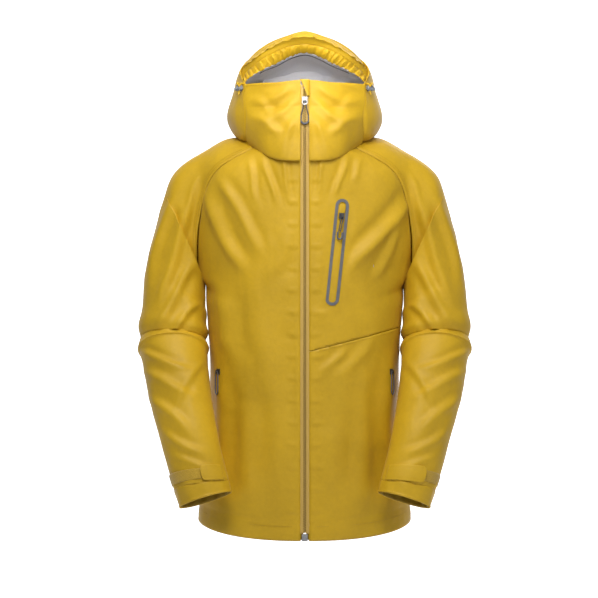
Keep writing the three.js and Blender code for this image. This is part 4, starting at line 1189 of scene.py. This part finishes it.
class JACKET_OT_hood(bpy.types.Operator):
    """Makes the hood: chin panels, sides, back strip and peak"""

    bl_idname = "jacket.hood"
    bl_label = "Hood"
    bl_options = {"REGISTER", "UNDO"}

    def execute(self, context):
        for name, side in SIDES:
            cloth(f"cloth_chin_{name}", 70, 70, chin_place, "shell", (0, 0, 760), side,
                  replaces=[f"chin_{name}"], crumple=1.3, seed=side + 1)
            cloth(f"cloth_hood_side_{name}", 90, 80, side_place, "shell", HEART, side,
                  replaces=[f"hood_side_{name}"], crumple=1.6, seed=side + 2)
        cloth("cloth_hood_back", 40, 100, strip_place, "shell", HEART,
              replaces=["hood_back"], crumple=1.2, seed=1)
        cloth("cloth_peak", 240, 22, brim_place, "shell", HEART, body="peak",
              replaces=["hood_brim"], crumple=0.6, seed=2)
        self.threads()
        return {"FINISHED"}

    def threads(self):
        bm = bmesh.new()
        v = np.linspace(0.03, 0.98, 60)
        for side in (1, -1):
            flip = np.array([side, 1, 1])
            for place, u in ((chin_place, 0.965), (side_place, 0.03), (side_place, 0.965)):
                t = v if place is chin_place else v * 0.98
                if place is side_place and u < 0.5:
                    t = v * 0.74
                line = place(np.full_like(t, u), t) * flip
                stitches(bm, line, line - np.array(HEART))
            line = chin_place(v, np.full_like(v, 0.965)) * flip
            stitches(bm, line, line - np.array(HEART))
        finish_mesh(bm, "hood_stitching", "thread", smooth=False)


class JACKET_OT_hood_inside(bpy.types.Operator):
    """Makes the linings and the gathered band inside the peak"""

    bl_idname = "jacket.hood_inside"
    bl_label = "Hood inside"
    bl_options = {"REGISTER", "UNDO"}

    def execute(self, context):
        cloth("under_peak", 120, 10, under_brim_place, "shell", (0, 0, 950), body="peak",
              replaces=["brim_edge"], gauge=0.6)
        cloth("gathered_band", 460, 22, face_band_place, "shell", (0, 60, 880), body="peak",
              replaces=["hood_face_band"], gauge=0.6)
        cloth("cloth_hood_lining", 110, 60, hood_lining_place, "lining", (0, 0, 1000),
              replaces=["hood_lining"], gauge=0.5)
        cloth("cloth_neck_lining", 60, 40, neck_lining_place, "lining", (0, 200, 790),
              replaces=["neck_lining"], gauge=0.8)
        bm = bmesh.new()
        u = np.linspace(0.14, 0.86, 60)
        line = hood_lining_place(u, np.full_like(u, 0.055))
        rod(bm, line + [0, -0.5, -0.6], 0.9, 6)
        finish_mesh(bm, "lining_seam", "seam")
        return {"FINISHED"}


class JACKET_OT_front_zip(bpy.types.Operator):
    """Makes the tapes, teeth, garage and pull of the front zip"""

    bl_idname = "jacket.front_zip"
    bl_label = "Front zip"
    bl_options = {"REGISTER", "UNDO"}

    def execute(self, context):
        for name, side in SIDES:
            def tape(u, v):
                x = mix(2.2, 12.0, u)
                z = mix(34.0, 806.0, v)
                y = -139.3 + 3.2 * ease((u - 0.45) / 0.5) - 0.4 * np.exp(-(u / 0.12) ** 2)
                return np.stack([x, y + 0 * v, z], -1)
            cloth(f"tape_{name}", 8, 240, tape, "tape", (0, 0, 420), side,
                  replaces=[f"zip_tape_{name}"], gauge=0.8)
        bm = bmesh.new()
        for k, z in enumerate(np.arange(36, 776, 2.1)):
            side = 1 if k % 2 else -1
            box_at(bm, (side * 0.8, -139.0, z), (3.4, 1.0, 1.5))
        finish_mesh(bm, "zip_teeth", "tape", smooth=False, replaces=["zip_chain"])

        def flap(u, v):
            return np.stack([mix(-11, 21, u), -134.2 + 0 * u, mix(36, 800, v)], -1)

        cloth("cloth_storm_flap", 8, 60, flap, "inside", (0, 0, 420), replaces=["storm_flap"],
              gauge=0.8)

        def garage(u, v):
            left = mix(-9.0, 4.5, v ** 0.8)
            x = mix(left, 8.5, u)
            z = mix(814.5, 786.0, v)
            y = -146.6 + 3.0 * u - 1.2 * np.sin(math.pi * u) - 1.0 * v
            return np.stack([x, y, z], -1)
        cloth("cloth_zip_garage", 14, 24, garage, "shell", (0, 0, 800), replaces=["zip_garage"],
              gauge=1.1)
        bm = bmesh.new()
        low, high = drawn_box("front_pull_cord")
        y, top = high[1] - 1.0, high[2] - 0.9
        out = low[1] + 0.6
        arm = [(6.9, out, 751), (5.2, out, 757), (3.2, mix(out, y, 0.5), 765), (1.5, y, top - 3)]
        loop = arm + [(0, y, top)] + [(-a, b, c) for a, b, c in arm[::-1]]
        rod(bm, along(loop, np.linspace(0, 1, 48)), 0.95, 8)
        finish_mesh(bm, "front_pull_loop", "cord", body="front_pull", replaces=["front_pull_cord"])
        bm = bmesh.new()
        bend = np.radians(np.linspace(-12, 192, 40))
        arc = np.stack([7.4 * np.cos(bend), out + 0 * bend, 746 - 7.6 * np.sin(bend)], -1)
        arc = np.vstack([[(6.7, out, 752)], arc, [(-6.7, out, 752)]])
        rod(bm, arc, 1.75, 12)
        finish_mesh(bm, "front_pull_handle", "grip", body="front_pull",
                    replaces=["front_pull_grip"])
        bm = bmesh.new()
        bend = np.radians(np.linspace(0, 360, 33))
        ring = np.stack([4.3 * np.cos(bend), -147.3 + 0 * bend, 775.5 + 4.3 * np.sin(bend)], -1)
        rod(bm, ring, 0.95, 8)
        finish_mesh(bm, "slider_ring", "bright", body="front_slider")
        return {"FINISHED"}


class JACKET_OT_chest_pocket(bpy.types.Operator):
    """Makes the tape, teeth, garage and pull loop of the chest pocket"""

    bl_idname = "jacket.chest_pocket"
    bl_label = "Chest pocket"
    bl_options = {"REGISTER", "UNDO"}

    def execute(self, context):
        up = np.array([0.108, 0.0175, 0.994])
        across = np.array([0.9734, 0.2012, -0.1093])
        out = np.array([0.2019, -0.9794, -0.0047])
        low, high = drawn_box("chest_zip")
        heart = (low + high) / 2
        half = 84.0

        def tape(u, v):
            t = mix(-half, half, v)[:, None]
            x = mix(-6.4, 6.4, u)[:, None]
            return heart + up * t + across * x + out * (0.6 - 0.5 * (np.abs(x) > 2))
        cloth("chest_tape", 12, 90, tape, "tape", heart + [0, 60, 0], replaces=["chest_zip"],
              gauge=0.6)
        bm = bmesh.new()
        for k, t in enumerate(np.arange(-half + 2, 66, 1.8)):
            shift = 0.7 if k % 2 else -0.7
            box_at(bm, heart + up * t + across * shift + out * 1.2, (2.3, 1.1, 1.1),
                   [across, out, up])
        finish_mesh(bm, "chest_teeth", "tape", smooth=False)

        def garage(u, v):
            x = mix(-5.6, 5.6, u)
            t = mix(half - 1, half - 21 + 6 * u, v)
            return (heart + up * t[:, None] + across * x[:, None]
                    + out * (2.2 + 0.7 * np.sin(math.pi * u))[:, None])
        cloth("cloth_chest_garage", 12, 16, garage, "shell", heart + [0, 60, 0],
              replaces=["chest_garage"], gauge=0.7)
        bm = bmesh.new()
        low, high = drawn_box("chest_pull_cord")
        top = np.array([mix(low[0], high[0], 0.72), mix(low[1], high[1], 0.75), high[2] - 1])
        foot = np.array([mix(low[0], high[0], 0.3), low[1] + 1.0, low[2] + 0.6])
        side = across * 1.6
        loop = [foot + side, mix(foot, top, 0.5) + side, top + side * 0.9 - up * 2, top,
                top - side * 0.9 - up * 2, mix(foot, top, 0.5) - side, foot - side]
        rod(bm, along(loop, np.linspace(0, 1, 32)), 0.9, 8)
        finish_mesh(bm, "chest_pull_loop", "cord", body="chest_pull",
                    replaces=["chest_pull_cord"])
        return {"FINISHED"}


class JACKET_OT_pockets(bpy.types.Operator):
    """Makes the hand zips and the pocket bags"""

    bl_idname = "jacket.pockets"
    bl_label = "Hand pockets"
    bl_options = {"REGISTER", "UNDO"}

    def execute(self, context):
        for name, side in SIDES:
            low, high = drawn_box(f"hand_zip_{name}")
            n = np.array([0.8357, -0.5491, 0.006])
            across = np.array([0.5491, 0.8357, -0.0096])
            heart = np.array([abs(low[0] + high[0]) / 2, (low[1] + high[1]) / 2,
                              (low[2] + high[2]) / 2])

            def tape(u, v):
                z = mix(low[2], high[2], v)
                return (np.stack([heart[0] + 0 * z, heart[1] + 0 * z, z], -1)
                        + across * mix(-5.5, 5.5, u)[:, None] + n * 2.2)
            cloth(f"hand_tape_{name}", 8, 70, tape, "tape", (100, 0, heart[2]), side,
                  replaces=[f"hand_zip_{name}"], gauge=0.7)
            self.bag(name, side)
        self.bag("chest", 1)
        return {"FINISHED"}

    def bag(self, name, side):
        low, high = drawn_box(f"pocket_bag_{name}")
        x0, x1 = sorted((abs(low[0]), abs(high[0])))

        def sheet(u, v):
            x = mix(x0, x1, u)
            z = mix(low[2] + 2, high[2] - 2, v)
            half = through([r[0] for r in TRUNK], [r[1] for r in TRUNK], z)
            y = -FRONT * np.clip(1 - np.abs(x / half) ** ROUND, 0.02, 1) ** (1 / ROUND)
            sag = 2.5 * np.sin(math.pi * u) * np.sin(math.pi * v)
            return np.stack([x, y + 6.5 + sag, z], -1)
        cloth(f"bag_{name}", 30, 50, sheet, "lining", (0, 0, 300), side,
              replaces=[f"pocket_bag_{name}"], gauge=1.2, crumple=0.8)


class JACKET_OT_cord_locks(bpy.types.Operator):
    """Makes the cord loops over the cord locks"""

    bl_idname = "jacket.cord_locks"
    bl_label = "Cord lock loops"
    bl_options = {"REGISTER", "UNDO"}

    def execute(self, context):
        for name, side in SIDES:
            bm = bmesh.new()
            low, high = drawn_box(f"cord_lock_{name}")
            c = (low + high) / 2
            flip = np.array([side, 1, 1])
            c = c * flip
            loop = [c + [-9, 6, 7], c + [-6, -1, 8], c + [-2, -5.5, 6.5], c + [0, -7, 3],
                    c + [2.5, -6, 6], c + [4, -1, 8.5], c + [1, 6, 9]]
            rod(bm, along(loop, np.linspace(0, 1, 40)) * flip, 1.5, 8)
            tail = [c + [0, -2, -4], c + [0.5, -3, -8], c + [1.5, -3.5, -12]]
            rod(bm, along(tail, np.linspace(0, 1, 12)) * flip, 1.4, 8)
            finish_mesh(bm, f"lock_loop_{name}", "shell", replaces=[f"lock_cord_{name}"])
            bm = bmesh.new()
            for shift in (-3.6, -1.2, 1.2, 3.6):
                direction = np.array([0.8632, 0.4818, 0.1506])
                middle = (c + direction * shift) * flip
                turned(bm, [(-0.5, 3.0), (-0.5, 5.2), (0.0, 5.6), (0.5, 5.2), (0.5, 3.0)],
                       middle, direction * flip, 24)
            finish_mesh(bm, f"lock_ribs_{name}", "lock")
        return {"FINISHED"}


class JACKET_OT_hanger(bpy.types.Operator):
    """Makes the hanger loop inside the neck"""

    bl_idname = "jacket.hanger"
    bl_label = "Hanger loop"
    bl_options = {"REGISTER", "UNDO"}

    def execute(self, context):
        low, high = drawn_box("hanger_loop")
        bm = bmesh.new()
        t = np.linspace(-1, 1, 41)
        line = np.stack([t * (high[0] - 1), mix(low[1] + 0.6, high[1] - 0.6, np.abs(t) ** 2.2),
                         0 * t + (low[2] + high[2]) / 2], -1)
        band(bm, line, 7.6, 1.1)
        finish_mesh(bm, "hanging_tape", "shell", replaces=["hanger_loop"])
        return {"FINISHED"}


class JACKET_OT_hard_parts(bpy.types.Operator):
    """Gives the zip and lock parts of the frame their finishes"""

    bl_idname = "jacket.hard_parts"
    bl_label = "Zip and lock finishes"
    bl_options = {"REGISTER", "UNDO"}

    def execute(self, context):
        kept = {"zip_box": "bright", "front_slider": "metal",
                "chest_frame": "film", "chest_slider": "metal", "chest_pull_grip": "grip"}
        for name, _ in SIDES:
            kept.update({f"hand_{name}_slider": "metal", f"hand_{name}_pull": "grip",
                         f"cord_lock_{name}": "lock", f"lock_button_{name}": "lock"})
        for node, finish in kept.items():
            piece = bpy.data.objects[node]
            piece.data.materials.clear()
            piece.data.materials.append(FINISHES[finish]())
        return {"FINISHED"}


class JacketSettings(bpy.types.PropertyGroup):
    """Colours of the jacket's cloth"""

    cloth_colour: bpy.props.FloatVectorProperty(
        name="Cloth colour", description="Colour of the shell cloth", size=3, subtype="COLOR",
        default=(0.56, 0.338, 0.006), min=0, max=1)
    lining_colour: bpy.props.FloatVectorProperty(
        name="Lining colour", description="Colour of the linings", size=3, subtype="COLOR",
        default=(0.84, 0.84, 0.88), min=0, max=1)
    tape_colour: bpy.props.FloatVectorProperty(
        name="Zip tape colour", description="Colour of the zip tapes and teeth", size=3,
        subtype="COLOR", default=(0.54, 0.34, 0.07), min=0, max=1)


class JACKET_PT_parts(bpy.types.Panel):
    """Lists the steps that make the jacket"""

    bl_idname = "JACKET_PT_parts"
    bl_label = "Hooded shell jacket"
    bl_space_type = "VIEW_3D"
    bl_region_type = "UI"
    bl_category = "Jacket"

    def draw(self, context):
        for key in ("cloth_colour", "lining_colour", "tape_colour"):
            self.layout.prop(context.scene.jacket, key)
        for step in STEPS:
            self.layout.operator(step.bl_idname)


STEPS = (JACKET_OT_stage, JACKET_OT_body, JACKET_OT_sleeves, JACKET_OT_cuffs, JACKET_OT_hood,
         JACKET_OT_hood_inside, JACKET_OT_front_zip, JACKET_OT_chest_pocket, JACKET_OT_pockets,
         JACKET_OT_cord_locks, JACKET_OT_hanger, JACKET_OT_hard_parts)
CLASSES = (JacketSettings, JACKET_PT_parts) + STEPS


def register():
    for kind in CLASSES:
        bpy.utils.register_class(kind)
    bpy.types.Scene.jacket = bpy.props.PointerProperty(type=JacketSettings)


def unregister():
    del bpy.types.Scene.jacket
    for kind in reversed(CLASSES):
        bpy.utils.unregister_class(kind)


def main():
    register()
    for step in STEPS:
        getattr(bpy.ops.jacket, step.bl_idname.split(".")[1])()


if __name__ == "__main__":
    main()
